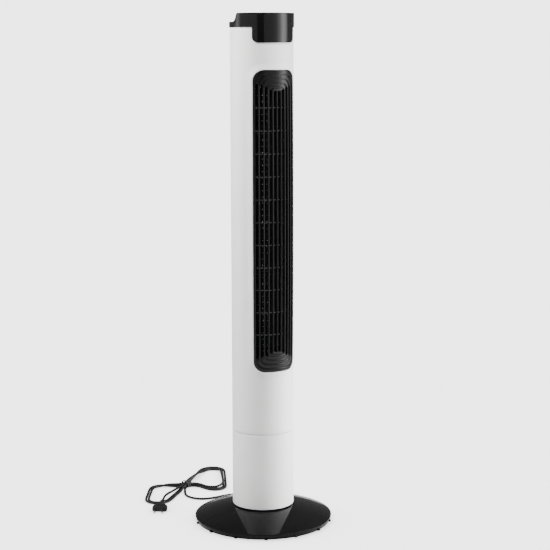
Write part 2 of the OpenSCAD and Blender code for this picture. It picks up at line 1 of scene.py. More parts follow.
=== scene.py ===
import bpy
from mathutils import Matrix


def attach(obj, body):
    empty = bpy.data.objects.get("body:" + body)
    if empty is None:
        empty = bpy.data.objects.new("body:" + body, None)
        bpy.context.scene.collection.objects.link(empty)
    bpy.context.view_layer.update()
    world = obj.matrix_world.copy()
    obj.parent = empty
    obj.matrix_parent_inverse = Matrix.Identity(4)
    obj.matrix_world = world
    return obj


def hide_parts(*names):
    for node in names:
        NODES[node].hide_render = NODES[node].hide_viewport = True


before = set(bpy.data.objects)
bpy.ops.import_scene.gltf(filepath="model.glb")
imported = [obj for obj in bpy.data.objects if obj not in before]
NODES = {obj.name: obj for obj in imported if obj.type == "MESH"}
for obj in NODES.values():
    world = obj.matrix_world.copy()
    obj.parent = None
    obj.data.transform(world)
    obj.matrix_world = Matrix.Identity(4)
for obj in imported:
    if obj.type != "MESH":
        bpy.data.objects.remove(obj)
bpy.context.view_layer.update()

import math

import bmesh
import bpy
import numpy as np
from mathutils import Matrix, Vector
from mathutils.geometry import delaunay_2d_cdt

# A tower fan, in the frame of its CAD model. The mesh code works in millimetres.
MM = 0.001
COLUMN_R, INNER_R = 71.0, 68.5
FOOT_R, CROWN_Z, RIM_Z = 159.5, 46.0, 14.0
DOME_R = (FOOT_R**2 + (CROWN_Z - RIM_Z) ** 2) / (2 * (CROWN_Z - RIM_Z))
JOINT_Z, CAP_Z, DECK_Z, TOP_Z = 220.0, 1139.0, 1151.0, 1170.0
CAP_R, TONGUE_Z = 72.7, 1105.0
OUTLET_LOW, OUTLET_HIGH = 367.0, 1046.0
OUTLET_ANGLE = math.radians(44.5)
OUTLET_HALF = OUTLET_ANGLE * COLUMN_R
HALF_WAY = math.pi / 2 * COLUMN_R


def circle(steps):
    """The angles of a full turn, without its end."""
    return [2 * math.pi * i / steps for i in range(steps)]


# ---- Camera, floor and light ----

def add_object(name, data):
    obj = bpy.data.objects.new(name, data)
    bpy.context.scene.collection.objects.link(obj)
    return obj


# The camera's azimuth in degrees, and how bright it sees the room and the floor
AZIMUTH, ROOM_SEEN = -28, 3.8


def make_camera():
    """A long lens at the height of the cap, which looks slightly down and past the column."""
    azimuth, past, away, height = math.radians(AZIMUTH), 0.50530, 3.258, 1.093
    data = bpy.data.cameras.new("view")
    data.sensor_width, data.lens, data.shift_y, data.clip_end = 36, 94.25455, 0.0021818, 60
    cam = add_object("view", data)
    cam.matrix_world = (
        Matrix.Translation((math.sin(azimuth) * away, -math.cos(azimuth) * away, height))
        @ Matrix.Rotation(math.radians(AZIMUTH - past), 4, "Z")
        @ Matrix.Rotation(math.radians(90 - 9), 4, "X")
        @ Matrix.Rotation(math.radians(-0.12), 4, "Z")
    )
    bpy.context.scene.camera = cam


def soft_box(name, angle, distance, height, size, power, aim):
    """A soft box that faces the fan from a compass angle, in degrees. It has no reflection."""
    data = bpy.data.lights.new(name, "AREA")
    data.shape = "RECTANGLE"
    data.size, data.size_y = size
    data.energy = power
    light = add_object(name, data)
    light.visible_glossy = False
    light.visible_camera = False
    a = math.radians(angle)
    place = Vector((math.cos(a) * distance, math.sin(a) * distance, height))
    light.location = place
    light.rotation_euler = (Vector((0, 0, aim)) - place).to_track_quat("-Z", "Y").to_euler()


# The room round the fan, as (degrees to the right of the camera, brightness)
ROOM = [(-180, 0.20), (-128, 0.20), (-112, 0.45), (-101, 2.1), (-91, 2.1), (-80, 0.50), (-50, 0.46),
        (-17.5, 0.44), (-15, 0.03), (7, 0.03), (9.5, 0.42), (40, 0.50), (54, 0.8), (68, 2.4),
        (81, 5.4), (92, 4.2), (106, 0.4), (128, 0.20), (180, 0.20)]


class Nodes:
    """Short ways to add nodes to a tree and to join them."""

    def __init__(self, tree):
        self.tree = tree

    def put(self, node, sockets):
        """Gives each socket its value, or joins it to another node's output."""
        for key, value in sockets.items():
            if isinstance(value, bpy.types.NodeSocket):
                self.tree.links.new(value, node.inputs[key])
            else:
                node.inputs[key].default_value = value
        return node

    def node(self, kind, sockets=None, **settings):
        node = self.tree.nodes.new(kind)
        for key, value in settings.items():
            setattr(node, key, value)
        return self.put(node, sockets or {})

    def span(self, value, low, high, start=0.3, end=0.7):
        return self.node("ShaderNodeMapRange", {"Value": value, "From Min": start, "From Max": end,
                                                "To Min": low, "To Max": high}).outputs["Result"]

    def math(self, operation, *values):
        return self.node("ShaderNodeMath", dict(enumerate(values)), operation=operation).outputs[0]

    def camera_sees(self, seen, other):
        """One shader for what the camera sees, and another for all other rays."""
        path = self.node("ShaderNodeLightPath")
        return self.node("ShaderNodeMixShader", {0: path.outputs["Is Camera Ray"], 1: other.outputs[0],
                                                 2: seen.outputs[0]}).outputs[0]


def make_world():
    """A white room with two soft strips of light and a dark one where the camera stands."""
    world = bpy.data.worlds.new("room")
    bpy.context.scene.world = world
    world.use_nodes = True
    world.node_tree.nodes.clear()
    n = Nodes(world.node_tree)
    way = n.node("ShaderNodeTexCoord").outputs["Generated"]
    parts = n.node("ShaderNodeSeparateXYZ", {0: way})
    angle = n.math("ARCTAN2", parts.outputs["Y"], parts.outputs["X"])
    angle = n.math("WRAP", n.math("ADD", angle, math.radians(90 - AZIMUTH)), math.pi, -math.pi)
    ramp = n.node("ShaderNodeValToRGB", {"Fac": n.span(angle, 0, 1, -math.pi, math.pi)})
    brightest = max(value for _, value in ROOM)
    stops = ramp.color_ramp.elements
    stops.remove(stops[1])
    for i, (degrees, value) in enumerate(ROOM):
        place = 0.5 + degrees / 360
        stop = stops.new(place) if i else stops[0]
        stop.position = place
        stop.color = (*[value / brightest] * 3, 1)
    other = n.node("ShaderNodeBackground", {"Color": ramp.outputs["Color"], "Strength": brightest})
    seen = n.node("ShaderNodeBackground", {"Color": (1, 1, 1, 1), "Strength": ROOM_SEEN})
    n.node("ShaderNodeOutputWorld", {"Surface": n.camera_sees(seen, other)})


def make_floor():
    """A white disc that the camera sees as bright as the room, with a faint contact shadow."""
    mesh = bpy.data.meshes.new("floor")
    mesh.from_pydata([(2.6 * math.cos(a), 2.6 * math.sin(a), 0) for a in circle(96)], [],
                     [tuple(range(96))])
    material = bpy.data.materials.new("pale_floor")
    material.use_nodes = True
    n = Nodes(material.node_tree)
    bsdf = n.put(n.tree.nodes["Principled BSDF"], {"Base Color": (0.5, 0.5, 0.5, 1), "Roughness": 0.9,
                                                   "Specular IOR Level": 0.0})
    near = n.node("ShaderNodeAmbientOcclusion", {"Distance": 0.16}).outputs["AO"]
    seen = n.node("ShaderNodeEmission",
                  {"Strength": n.span(near, 0.5 * ROOM_SEEN, ROOM_SEEN, 0.35, 1.0)})
    n.put(n.tree.nodes["Material Output"], {"Surface": n.camera_sees(seen, bsdf)})
    mesh.materials.append(material)
    add_object("floor", mesh)


make_camera()
make_world()
make_floor()
soft_box("right_box", -22, 1.15, 0.25, (0.7, 0.6), 42, 0.20)
soft_box("left_box", 150, 1.5, 1.75, (0.7, 0.7), 80, 1.50)
soft_box("front_box", -128, 0.9, 2.3, (0.7, 0.6), 36, 1.2)
soft_box("top_box", -60, 0.8, 2.6, (0.9, 0.9), 30, 0.9)


# ---- Materials ----

class Finish(Nodes):
    """A material whose colour, roughness and relief vary over the surface."""

    def __init__(self, name, colour, roughness, metallic=0.0, specular=0.5):
        self.material = bpy.data.materials.new(name)
        self.material.use_nodes = True
        super().__init__(self.material.node_tree)
        self.colour = (*colour, 1)
        self.bsdf = self.put(self.tree.nodes["Principled BSDF"], {
            "Base Color": self.colour, "Roughness": roughness, "Metallic": metallic,
            "Specular IOR Level": specular})
        self.coords = self.node("ShaderNodeTexCoord").outputs["Object"]
        self.relief = {}

    def noise(self, size_mm, detail=3.0, stretch=(1, 1, 1)):
        """Noise whose grains are about size_mm wide."""
        place = self.node("ShaderNodeMapping", {"Scale": stretch, "Vector": self.coords}).outputs[0]
        return self.node("ShaderNodeTexNoise", {"Scale": 1000.0 / size_mm, "Detail": detail,
                                                "Roughness": 0.55, "Vector": place}).outputs["Fac"]

    def rough(self, value):
        self.put(self.bsdf, {"Roughness": value})

    def tint(self, share, other):
        """Blends the base colour towards another one."""
        mix = self.node("ShaderNodeMix", {"A": self.colour, "B": (*other, 1), "Factor": share},
                        data_type="RGBA")
        self.put(self.bsdf, {"Base Color": mix.outputs["Result"]})

    def bump(self, height, depth_mm):
        node = self.node("ShaderNodeBump", {"Strength": 1.0, "Distance": depth_mm * MM,
                                            "Height": height, **self.relief})
        self.relief = {"Normal": node.outputs["Normal"]}
        self.put(self.bsdf, self.relief)
        return self

    def scratches(self, size_mm, share):
        """A mask of fine hairline scratches: 1 on them, 0 elsewhere."""
        a = self.noise(size_mm, 1.0, (1, 1, 0.04))
        b = self.noise(size_mm * 1.7, 1.0, (0.06, 1, 1))
        line = self.math("MAXIMUM", self.span(a, 0, 1, share, share + 0.02),
                         self.span(b, 0, 1, share, share + 0.02))
        return self.math("MINIMUM", line, 1.0)


def gloss_plastic(name, colour, low, high, specular=0.5):
    f = Finish(name, colour, low, specular=specular)
    veil = f.span(f.noise(38, 4), low, high)
    f.rough(f.math("ADD", veil, f.math("MULTIPLY", f.scratches(2.2, 0.71), 0.06)))
    f.tint(f.span(f.noise(55, 3), 0, 0.5), tuple(c * 1.35 + 0.0015 for c in colour))
    return f.bump(f.noise(14, 2), 0.016).bump(f.noise(0.7, 2), 0.0012).material


def moulded_plastic(name, colour, other, low, high, grain_mm, depth_mm, specular=0.5):
    f = Finish(name, colour, low, specular=specular)
    f.rough(f.span(f.noise(30, 4), low, high))
    f.tint(f.span(f.noise(70, 4), 0, 1), other)
    return f.bump(f.noise(18, 2), 0.02).bump(f.noise(grain_mm, 3), depth_mm).material


def plated_metal(name, colour, other, low, high, stretch):
    f = Finish(name, colour, low, metallic=1.0)
    f.rough(f.span(f.noise(6, 5, stretch), low, high))
    f.tint(f.span(f.noise(11, 5), 0, 1, 0.4, 0.75), other)
    return f.bump(f.noise(1.2, 3, stretch), 0.006).material


def rubber_like(name, colour, other, low, high):
    f = Finish(name, colour, low, specular=0.4)
    f.rough(f.span(f.noise(9, 4), low, high))
    f.tint(f.span(f.noise(16, 5), 0, 1), other)
    return f.bump(f.noise(0.5, 3), 0.02).material


def cord_skin(name):
    f = Finish(name, (0.006, 0.006, 0.0065), 0.4, specular=0.4)
    f.rough(f.span(f.noise(24, 4), 0.36, 0.5))
    f.tint(f.span(f.noise(8, 5), 0, 1), (0.012, 0.012, 0.0125))
    return f.bump(f.noise(6, 2), 0.03).bump(f.noise(0.5, 2), 0.004).material


def board_skin(name):
    f = Finish(name, (0.02, 0.13, 0.06), 0.35)
    tracks = f.span(f.noise(5, 0, (1, 1, 0.25)), 0, 1, 0.49, 0.51)
    f.rough(f.span(f.noise(4, 3), 0.28, 0.5))
    f.tint(tracks, (0.03, 0.2, 0.09))
    return f.bump(tracks, 0.035).material


def grey(light, blue=0.0):
    """A grey, or one whose blue differs a little."""
    return (light, light, light + blue)


FINISHES = {
    "gloss_black": (gloss_plastic, grey(0.0032, 0.0002), 0.035, 0.07),
    "gloss_black_foot": (gloss_plastic, grey(0.0032, 0.0002), 0.05, 0.10, 0.12),
    "grille_black": (gloss_plastic, grey(0.0045, 0.0003), 0.09, 0.17, 0.34),
    "satin_white": (moulded_plastic, grey(0.78, -0.005), grey(0.81, -0.01), 0.34, 0.44, 0.55, 0.012),
    "wire_black": (moulded_plastic, grey(0.045, 0.002), grey(0.06, 0.002), 0.25, 0.4, 0.6, 0.01, 0.9),
    # Near-black paint for the rear housing's inner face: painted shade behind the slots, not the
    # moulding's own colour
    "inner_grey": (moulded_plastic, grey(0.005, 0.0003), grey(0.008, 0.0005), 0.45, 0.62, 0.7, 0.02,
                   0.12),
    "acetal": (moulded_plastic, (0.72, 0.69, 0.60), (0.66, 0.62, 0.53), 0.35, 0.5, 0.8, 0.01),
    "key_grey": (moulded_plastic, (0.035, 0.036, 0.038), grey(0.05, 0.002), 0.3, 0.42, 0.4, 0.01),
    "rubber": (rubber_like, grey(0.018), grey(0.028, -0.001), 0.62, 0.8),
    "steel": (plated_metal, (0.58, 0.59, 0.60), (0.44, 0.45, 0.47), 0.22, 0.42, (1, 1, 0.2)),
    "pin_metal": (plated_metal, grey(0.80, -0.02), (0.68, 0.67, 0.63), 0.12, 0.26, (1, 0.2, 1)),
    "brass": (plated_metal, (0.62, 0.45, 0.20), (0.50, 0.35, 0.16), 0.25, 0.45, (1, 1, 0.3)),
    "cord_pvc": (cord_skin,),
    "circuit": (board_skin,),
}
MATERIALS = {name: maker(name, *values) for name, (maker, *values) in FINISHES.items()}


# ---- Mesh tools ----

class Shape:
    """Points in millimetres and faces, gathered before they become one mesh."""

    def __init__(self):
        self.points, self.faces = [], []

    def add(self, points, faces):
        base = len(self.points)
        self.points.extend(tuple(float(c) for c in p) for p in points)
        self.faces.extend(tuple(base + i for i in f) for f in faces)
        return self

    def loft(self, rings, round_path=False, round_section=True, caps=True):
        """Skins a row of rings that have the same number of points."""
        n, count = len(rings[0]), len(rings)
        faces = []
        for i in range(count if round_path else count - 1):
            a, b = i * n, (i + 1) % count * n
            for k in range(n if round_section else n - 1):
                m = (k + 1) % n
                faces.append((a + k, a + m, b + m, b + k))
        if caps and not round_path:
            faces.append(tuple(range(n))[::-1])
            faces.append(tuple(range((count - 1) * n, count * n)))
        return self.add([p for ring in rings for p in ring], faces)

    def lathe(self, profile, steps=96, closed=True, place=None):
        """Turns a profile of (r, z) round Z, or round the Z of place."""
        rings = []
        for a in circle(steps):
            ring = [(r * math.cos(a), r * math.sin(a), z) for r, z in profile]
            rings.append(ring if place is None else [tuple(place @ Vector(p)) for p in ring])
        return self.loft(rings, round_path=True, round_section=closed)


def link_piece(obj, slot, body, nodes):
    """Gives obj its material and the body that it rides, and hides the CAD nodes that it stands for."""
    obj.data.materials.clear()
    obj.data.materials.append(MATERIALS[slot])
    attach(obj, body)
    if nodes:
        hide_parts(*nodes)
    return obj


def build(name, shape, cutter=False):
    """A mesh object from a Shape, welded, with its normals outward."""
    mesh = bpy.data.meshes.new(name)
    mesh.from_pydata([(x * MM, y * MM, z * MM) for x, y, z in shape.points], [], shape.faces)
    bm = bmesh.new()
    bm.from_mesh(mesh)
    bmesh.ops.remove_doubles(bm, verts=bm.verts, dist=(0.002 if cutter else 0.003) * MM)
    if not cutter:
        bmesh.ops.dissolve_degenerate(bm, edges=bm.edges, dist=1e-7)
    bmesh.ops.recalc_face_normals(bm, faces=bm.faces)
    bm.to_mesh(mesh)
    bm.free()
    return add_object(name, mesh)


def smooth(obj, sharp):
    """Shades obj smooth, apart from edges sharper than an angle in degrees."""
    obj.data.shade_smooth()
    obj.data.set_sharp_from_angle(angle=math.radians(sharp))


def piece(name, shape, slot, body, *nodes, sharp=35):
    obj = build(name, shape)
    smooth(obj, sharp)
    return link_piece(obj, slot, body, nodes)


def inside(points, loop):
    """Which points lie inside a closed loop, by the even-odd rule."""
    x, y = points[:, 0], points[:, 1]
    a = np.array(loop)
    near = ((x > a[:, 0].min()) & (x < a[:, 0].max()) & (y > a[:, 1].min()) & (y < a[:, 1].max()))
    px, py = x[near], y[near]
    hit = np.zeros(len(px), bool)
    for (x1, y1), (x2, y2) in zip(a, np.roll(a, -1, axis=0)):
        if y1 != y2:
            crosses = (y1 > py) != (y2 > py)
            hit ^= crosses & (px < (x2 - x1) * (py - y1) / (y2 - y1) + x1)
    result = np.zeros(len(points), bool)
    result[near] = hit
    return result


def on_wall(points, boundary, holes):
    """Which points lie inside a boundary and outside its holes."""
    good = inside(points, boundary)
    for hole in holes:
        good &= ~inside(points, hole)
    return good


def fill(boundary, holes, seeds):
    """Triangles between a boundary and its holes, through the seed points."""
    coords, edges = [], []
    for loop in [boundary, *holes]:
        base, n = len(coords), len(loop)
        coords += [Vector(p) for p in loop]
        edges += [(base + i, base + (i + 1) % n) for i in range(n)]
    if len(seeds):
        seeds = np.array(seeds, float)
        coords += [Vector(p) for p in seeds[on_wall(seeds, boundary, holes)]]
    points, _, faces, *_ = delaunay_2d_cdt(coords, edges, [], 0, 1e-5)
    flat = np.array([tuple(p) for p in points])
    faces = np.array([tuple(f) for f in faces])
    return flat, faces[on_wall(flat[faces].mean(axis=1), boundary, holes)]


def panel(boundary, holes, edge, place, seeds=(), hole_edges=None):
    """A wall with holes. Each loop is a function of how far it is taken into the material, edge is
    a list of (that distance, height) from the back face to the front one, and place(u, v, height)
    puts a point in space."""
    shape = Shape()
    hole_edges = hole_edges or [edge] * len(holes)
    for loop, rim in zip([boundary, *holes], [edge, *hole_edges]):
        rings = [[place(u, v, h) for u, v in loop(d)] for d, h in rim]
        shape.loft(rings, caps=False)
    for end in (0, -1):
        flat, faces = fill(boundary(edge[end][0]),
                           [h(rim[end][0]) for h, rim in zip(holes, hole_edges)], seeds)
        shape.add([place(u, v, edge[end][1]) for u, v in flat], faces)
    return shape


def spaced(a, b, n):
    """From a up to b, without b, closer together near both ends."""
    return [a + (b - a) * (0.5 - 0.5 * math.cos(math.pi * i / n)) for i in range(n)]


def corner_box(half_w, low, high, ru, rv, steps=12, side=24, across=10):
    """A rectangle with round corners, as the same number of points whatever its size."""
    mid, half_v = (low + high) / 2, (high - low) / 2
    su, sv = half_w - ru, half_v - rv
    points = []
    for quarter, (end_u, end_v) in enumerate(((1, 1), (-1, 1), (-1, -1), (1, -1))):
        if end_u == end_v:
            points += [(end_u * half_w, mid + v) for v in spaced(-end_v * sv, end_v * sv, side)]
        else:
            points += [(u, mid + end_v * half_v) for u in spaced(-end_u * su, end_u * su, across)]
        for i in range(steps):
            a = math.pi / 2 * (quarter + i / steps)
            points.append((end_u * su + ru * math.cos(a), mid + end_v * sv + rv * math.sin(a)))
    return points


def front_place(u, v, h):
    a = u / COLUMN_R
    return ((COLUMN_R + h) * math.sin(a), -(COLUMN_R + h) * math.cos(a), v)


def bulge(z):
    """How much the face bulges at z: not at all at the outlet's ends, and 1 at its middle."""
    t = min(1.0, max(0.0, (z - OUTLET_LOW) / (OUTLET_HIGH - OUTLET_LOW)))
    return math.sin(math.pi * t) ** 0.7


def shell_place(u, v, h):
    """A point of the front housing, whose lip stands proudest at mid-height."""
    return front_place(u, v, h * (0.75 + 0.5 * bulge(v)) if h > 0 else h)


LOUVRE, SLOT_ZONE = 2.3, (312.0, 1016.0)


def rear_place(u, v, h):
    """A point of the rear housing, whose wall is skewed so that its slots slope like louvres."""
    low, high = SLOT_ZONE
    skew = LOUVRE * max(0.0, min(1, (v - low) / 14, (high - v) / 14))
    x, y, z = front_place(u, v + skew * h, h)
    return (-x, -y, z)


# ---- Mains cord ----

CORD_R = 3.0
GLAND_X, GLAND_Z, GLAND_TIP = 32.0, 8.0, 164.0
LEAD_ROUTE = [(32, 164, 8), (32, 170, 7.4), (30, 178, 6), (24, 186, 4.4), (14, 191, 3.4),
              (0, 193, 3.1), (-20, 191, 3.1), (-40, 189, 3.1), (-58, 191, 3.1), (-72, 198, 3.1),
              (-82, 210, 3.1), (-88, 226, 3.1), (-88, 244, 3.1)]
TAIL_ROUTE = [(-82, 293, 9.0), (-94, 283, 9.2), (-110, 270, 9.6), (-126, 257, 10.6),
              (-141, 243, 12.0), (-153, 226, 13.2), (-165, 205.5, 13.4)]
TIE, TIE_TURN = np.array((-56.0, 310.0)), math.radians(22)
PLUG_HEADING, PLUG_TIP = math.radians(-124), math.radians(7)


def smooth_line(points, step):
    """A smooth curve through points, resampled at about that step."""
    p = np.array(points, float)
    p = np.vstack([2 * p[0] - p[1], p, 2 * p[-1] - p[-2]])
    out = []
    for i in range(1, len(p) - 2):
        a, b, c, d = p[i - 1:i + 3]
        n = max(2, int(np.linalg.norm(c - b)))
        for t in np.arange(n) / n:
            out.append(0.5 * (2 * b + (c - a) * t + (2 * a - 5 * b + 4 * c - d) * t**2
                              + (3 * b - a - 3 * c + d) * t**3))
    out.append(p[-2])
    return resample(np.array(out), step)


def distance_along(line):
    return np.concatenate([[0], np.cumsum(np.linalg.norm(np.diff(line, axis=0), axis=1))])


def resample(line, step):
    along = distance_along(line)
    at = np.linspace(0, along[-1], max(2, round(along[-1] / step) + 1))
    return np.stack([np.interp(at, along, line[:, k]) for k in range(line.shape[1])], axis=1)


def belt(circles):
    """The path of a belt round circles (x, y, radius), with a minus where it runs clockwise.
    The first and the last have no radius."""
    legs = []
    for (x1, y1, r1), (x2, y2, r2) in zip(circles, circles[1:]):
        dx, dy = x2 - x1, y2 - y1
        length = math.sqrt(dx * dx + dy * dy - (r1 - r2) ** 2)
        heading = math.atan2(dy, dx) + math.atan2(r1 - r2, length)
        n = np.array((math.sin(heading), -math.cos(heading)))
        legs.append((heading, np.array((x1, y1)) + r1 * n, np.array((x2, y2)) + r2 * n))
    points = [legs[0][1]]
    for i, (heading, start, end) in enumerate(legs):
        points.append(start)
        points += [start + (end - start) * t for t in np.arange(1, 8) / 8]
        points.append(end)
        if i + 1 < len(legs):
            x, y, r = circles[i + 1]
            turn = (legs[i + 1][0] - heading) % (2 * math.pi)
            if r < 0:
                turn -= 2 * math.pi
            steps = max(2, int(abs(turn * r) / 3))
            for t in np.arange(1, steps) / steps:
                h = heading + turn * t
                points.append(np.array((x, y)) + r * np.array((math.sin(h), -math.cos(h))))
    clean = [points[0]]
    for p in points[1:]:
        if np.linalg.norm(p - clean[-1]) > 0.05:
            clean.append(p)
    return clean


def tie_bend(across, upper):
    """The clockwise bend of a strand that goes through the tie. The lower ones share a centre."""
    b = np.array((-math.sin(TIE_TURN), math.cos(TIE_TURN)))
    radius = 20.0 if upper else 23.7 + across
    centre = TIE + b * (across + (radius if upper else -radius))
    return (*centre, -radius)


def eased(values, rounds):
    """Takes the corners out of a row of values, whose two ends stay."""
    for _ in range(rounds):
        values[1:-1] = 0.25 * values[:-2] + 0.5 * values[1:-1] + 0.25 * values[2:]
    return values


def cord_line():
    """The cord's centreline: the lead, five turns of a tied bow and the tail to the plug."""
    step, rest, tie_z = 3.0, CORD_R + 0.1, 9.4
    # Which point of the bow's first straight stretch the lead joins
    join = 4
    bow = [(*LEAD_ROUTE[-1][:2], 0.0)]
    for across, first, second in ((-3.6, (6, 268, 27.0), (60, 397, 32.5)),
                                  (-3.8, (6.8, 269.5, 21.0), (60, 397, 25.8)),
                                  (2.7, (14, 283, 20.5), (58, 391, 21.5))):
        bow += [tie_bend(across, False), first, second]
        if across < 0:
            inset = 32.5 - second[2]
            bow += [tie_bend(3.6, True), (-120, 322, 27.0 - inset), (-163, 241, 30.5 - inset)]
    bow.append((*TIE, 0.0))
    turns = belt(bow)
    lead = smooth_line([p[:2] for p in LEAD_ROUTE] + [turns[join]], 2.0)
    tail = smooth_line([turns[-1]] + [p[:2] for p in TAIL_ROUTE], 2.0)
    plan = resample(np.vstack([lead[:-1], turns[join:-1], tail]), step)
    plan = resample(eased(plan, 30), step)
    along = distance_along(plan)
    start, end = np.array(LEAD_ROUTE, float), np.array([(*TIE, tie_z), *TAIL_ROUTE])
    start_at, end_at = distance_along(start[:, :2]), distance_along(end[:, :2])
    height = np.maximum(np.interp(along, start_at, start[:, 2], right=rest),
                        np.interp(along, end_at - end_at[-1] + along[-1], end[:, 2], left=rest))
    height = eased(np.maximum(height, settle(plan, step)), 6)
    return np.column_stack([plan, height])


def settle(plan, step):
    """Height of each point of the cord as it is laid down: on the floor, or on what lies there."""
    reach, rest, rise, lag = 2 * CORD_R + 0.05, CORD_R + 0.1, 0.22 * step, 14
    z = np.full(len(plan), rest)
    for i in range(lag, len(plan)):
        near = np.linalg.norm(plan[:i - lag + 1] - plan[i], axis=1)
        close = near < reach
        if close.any():
            over = z[:i - lag + 1][close] + np.sqrt(reach**2 - near[close] ** 2)
            z[i] = max(rest, over.max())
        back = i - 1
        while back > 0 and z[back] < z[back + 1] - rise:
            z[back] = z[back + 1] - rise
            back -= 1
        z[i] = max(z[i], z[i - 1] - rise)
    return z


def make_cord():
    line = cord_line()
    data = bpy.data.curves.new("mains_lead", "CURVE")
    data.dimensions = "3D"
    data.bevel_depth = CORD_R * MM
    data.bevel_resolution = 4
    data.use_fill_caps = True
    spline = data.splines.new("POLY")
    spline.points.add(len(line) - 1)
    for point, (x, y, z) in zip(spline.points, line):
        point.co = (x * MM, y * MM, z * MM, 1)
    data.materials.append(MATERIALS["cord_pvc"])
    obj = add_object("mains_lead", data)
    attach(obj, "base")
    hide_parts("mains_cord", "cord_hank", "cord_tail")
    return obj, distance_along(line)[-1] * MM


def plug_matrix():
    return (Matrix.Translation(TAIL_ROUTE[-1]) @ Matrix.Rotation(PLUG_HEADING, 4, "Z")
            @ Matrix.Rotation(PLUG_TIP, 4, "Y"))


def plug_section(x, half_w, half_h, power):
    """A cross-section of the plug: an ellipse that its power makes squarer."""
    ring = []
    for a in circle(40):
        c, s = math.cos(a), math.sin(a)
        ring.append((x, half_w * math.copysign(abs(c) ** (2 / power), c),
                     half_h * math.copysign(abs(s) ** (2 / power), s)))
    return ring


# The plug's sections from its cord end, as (x, half width, half height, squareness)
PLUG_NECK = [(11.6, 5.0, 4.6, 2.2), (12.0, 5.8, 5.4, 2.4), (12.6, 6.0, 5.7, 2.6),
             (15.0, 6.0, 5.7, 2.6), (15.6, 5.7, 5.3, 2.6), (16.4, 5.3, 5.0, 2.6)]
PLUG_BODY = [(20.0, 5.7, 5.3, 2.6), (24.0, 6.6, 5.6, 2.8), (28.0, 8.4, 5.9, 3.0),
             (31.0, 10.4, 6.1, 3.2), (34.0, 13.0, 6.3, 3.4), (37.0, 15.6, 6.4, 3.6),
             (39.5, 17.1, 6.5, 3.8), (42.0, 17.8, 6.55, 4.0), (44.0, 17.95, 6.6, 4.2),
             (50.0, 17.95, 6.6, 4.6), (53.6, 17.9, 6.55, 4.8), (54.5, 17.5, 6.2, 4.8),
             (54.9, 16.9, 5.7, 4.6), (55.0, 16.2, 5.1, 4.4)]
PLUG_END = PLUG_BODY[-1][0]


def add_grip_bars(body, place):
    """Four raised bars on each flat side of the plug."""
    for face in (1, -1):
        for i in range(4):
            x, half = 41.0 + i * 3.0, 10.5 - 0.9 * i
            bar = []
            for y, h in ((-half, 0.0), (-half + 0.8, 0.55), (half - 0.8, 0.55), (half, 0.0)):
                bar.append([(x - 0.8, y, face * 6.1), (x - 0.45, y, face * (6.35 + h)),
                            (x + 0.45, y, face * (6.35 + h)), (x + 0.8, y, face * 6.1)])
            body.loft([[tuple(place @ Vector(p)) for p in ring] for ring in bar])


def make_plug():
    place = plug_matrix()
    ribs = []
    for rib in range(4):
        x, grow = 1.4 + rib * 2.6, 0.28 * rib
        for dx, more in ((0, 0.5), (0.3, 0), (0.9, 0), (1.2, 0.6)):
            ribs.append((x + dx, 3.5 + more + grow, 3.4 + more + grow * 0.8, 2))
    sections = [(0.0, 3.2, 3.2, 2), (0.3, 3.7, 3.7, 2), *ribs, *PLUG_NECK, *PLUG_BODY]
    body = Shape().loft([[tuple(place @ Vector(p)) for p in plug_section(*s)] for s in sections])
    add_grip_bars(body, place)
    pins, sleeves = Shape(), Shape()
    for side in (-1, 1):
        along = (place @ Matrix.Translation((PLUG_END, side * 9.3, 0))
                 @ Matrix.Rotation(math.pi / 2, 4, "Y"))
        pins.lathe([(0, 6), (1.75, 6), (1.75, 10.4), (2.0, 10.6), (2.0, 17.2), (1.85, 18.1),
                    (1.4, 18.7), (0.7, 19.0), (0, 19.0)], 24, closed=False, place=along)
        for profile in ([(0, -1), (1.9, -1), (1.9, 9.6), (1.7, 10.0), (0, 10.0)],
                        [(0, -1), (3.4, -1), (3.4, 0.5), (3.0, 0.8), (0, 0.8)]):
            sleeves.lathe(profile, 24, closed=False, place=along)
    return [piece("plug_moulding", body, "cord_pvc", "base", "plug_body", sharp=50),
            piece("plug_contacts", pins, "pin_metal", "base", "plug_pins"),
            piece("plug_sleeves", sleeves, "cord_pvc", "base")]


def tie_wrap(turn, shift, slant):
    """One wrap of the flat tie round the strands."""
    mid = np.array((0.0, 8.2))
    rings = []
    for y, z in corner_box(11.6, 0.5, 15.9, 5.4, 6.0, steps=6, side=6, across=8):
        out = np.array((y, z)) - mid
        n = out / np.linalg.norm(out)
        lean = shift + slant * y / 12
        rings.append([tuple(turn @ Vector((lean + dx, y + n[0] * dn, max(0.06, z + n[1] * dn))))
                      for dx, dn in ((-1.9, 0), (-1.7, 0.45), (0, 0.62), (1.7, 0.45), (1.9, 0),
                                     (0, -0.1))])
    return rings


def tie_end(turn, phase):
    """One of the tie's two ends, which are twisted together."""
    section = [(1, 0), (0.7, 0.8), (0, 1), (-0.7, 0.8), (-1, 0), (-0.7, -0.8), (0, -1), (0.7, -0.8)]
    rings = []
    for t in np.linspace(0, 1, 29):
        a = t * 3.2 * 2 * math.pi + phase
        middle = (Vector((1.0 + 13 * t, -8.0 - 5.0 * t, 16.0 - 11.5 * t * t))
                  + Vector((0, math.cos(a), math.sin(a))) * 0.75)
        wide = Vector((0.15, math.cos(a + 1.2), math.sin(a + 1.2))).normalized()
        thin = Vector((1, 0, 0)).cross(wide).normalized()
        rings.append([tuple(turn @ (middle + wide * p * 1.1 + thin * q * 0.42)) for p, q in section])
    return rings


def make_tie():
    """A flat tie, wound twice round the strands, with its two ends twisted together."""
    turn = Matrix.Translation((*TIE, 0)) @ Matrix.Rotation(TIE_TURN, 4, "Z")
    band = Shape()
    for shift, slant in ((-1.9, 0.9), (1.9, -0.8)):
        band.loft(tie_wrap(turn, shift, slant), round_path=True)
    for phase in (0, math.pi):
        band.loft(tie_end(turn, phase))
    return piece("lead_tie", band, "rubber", "base", "cord_tie", sharp=40)


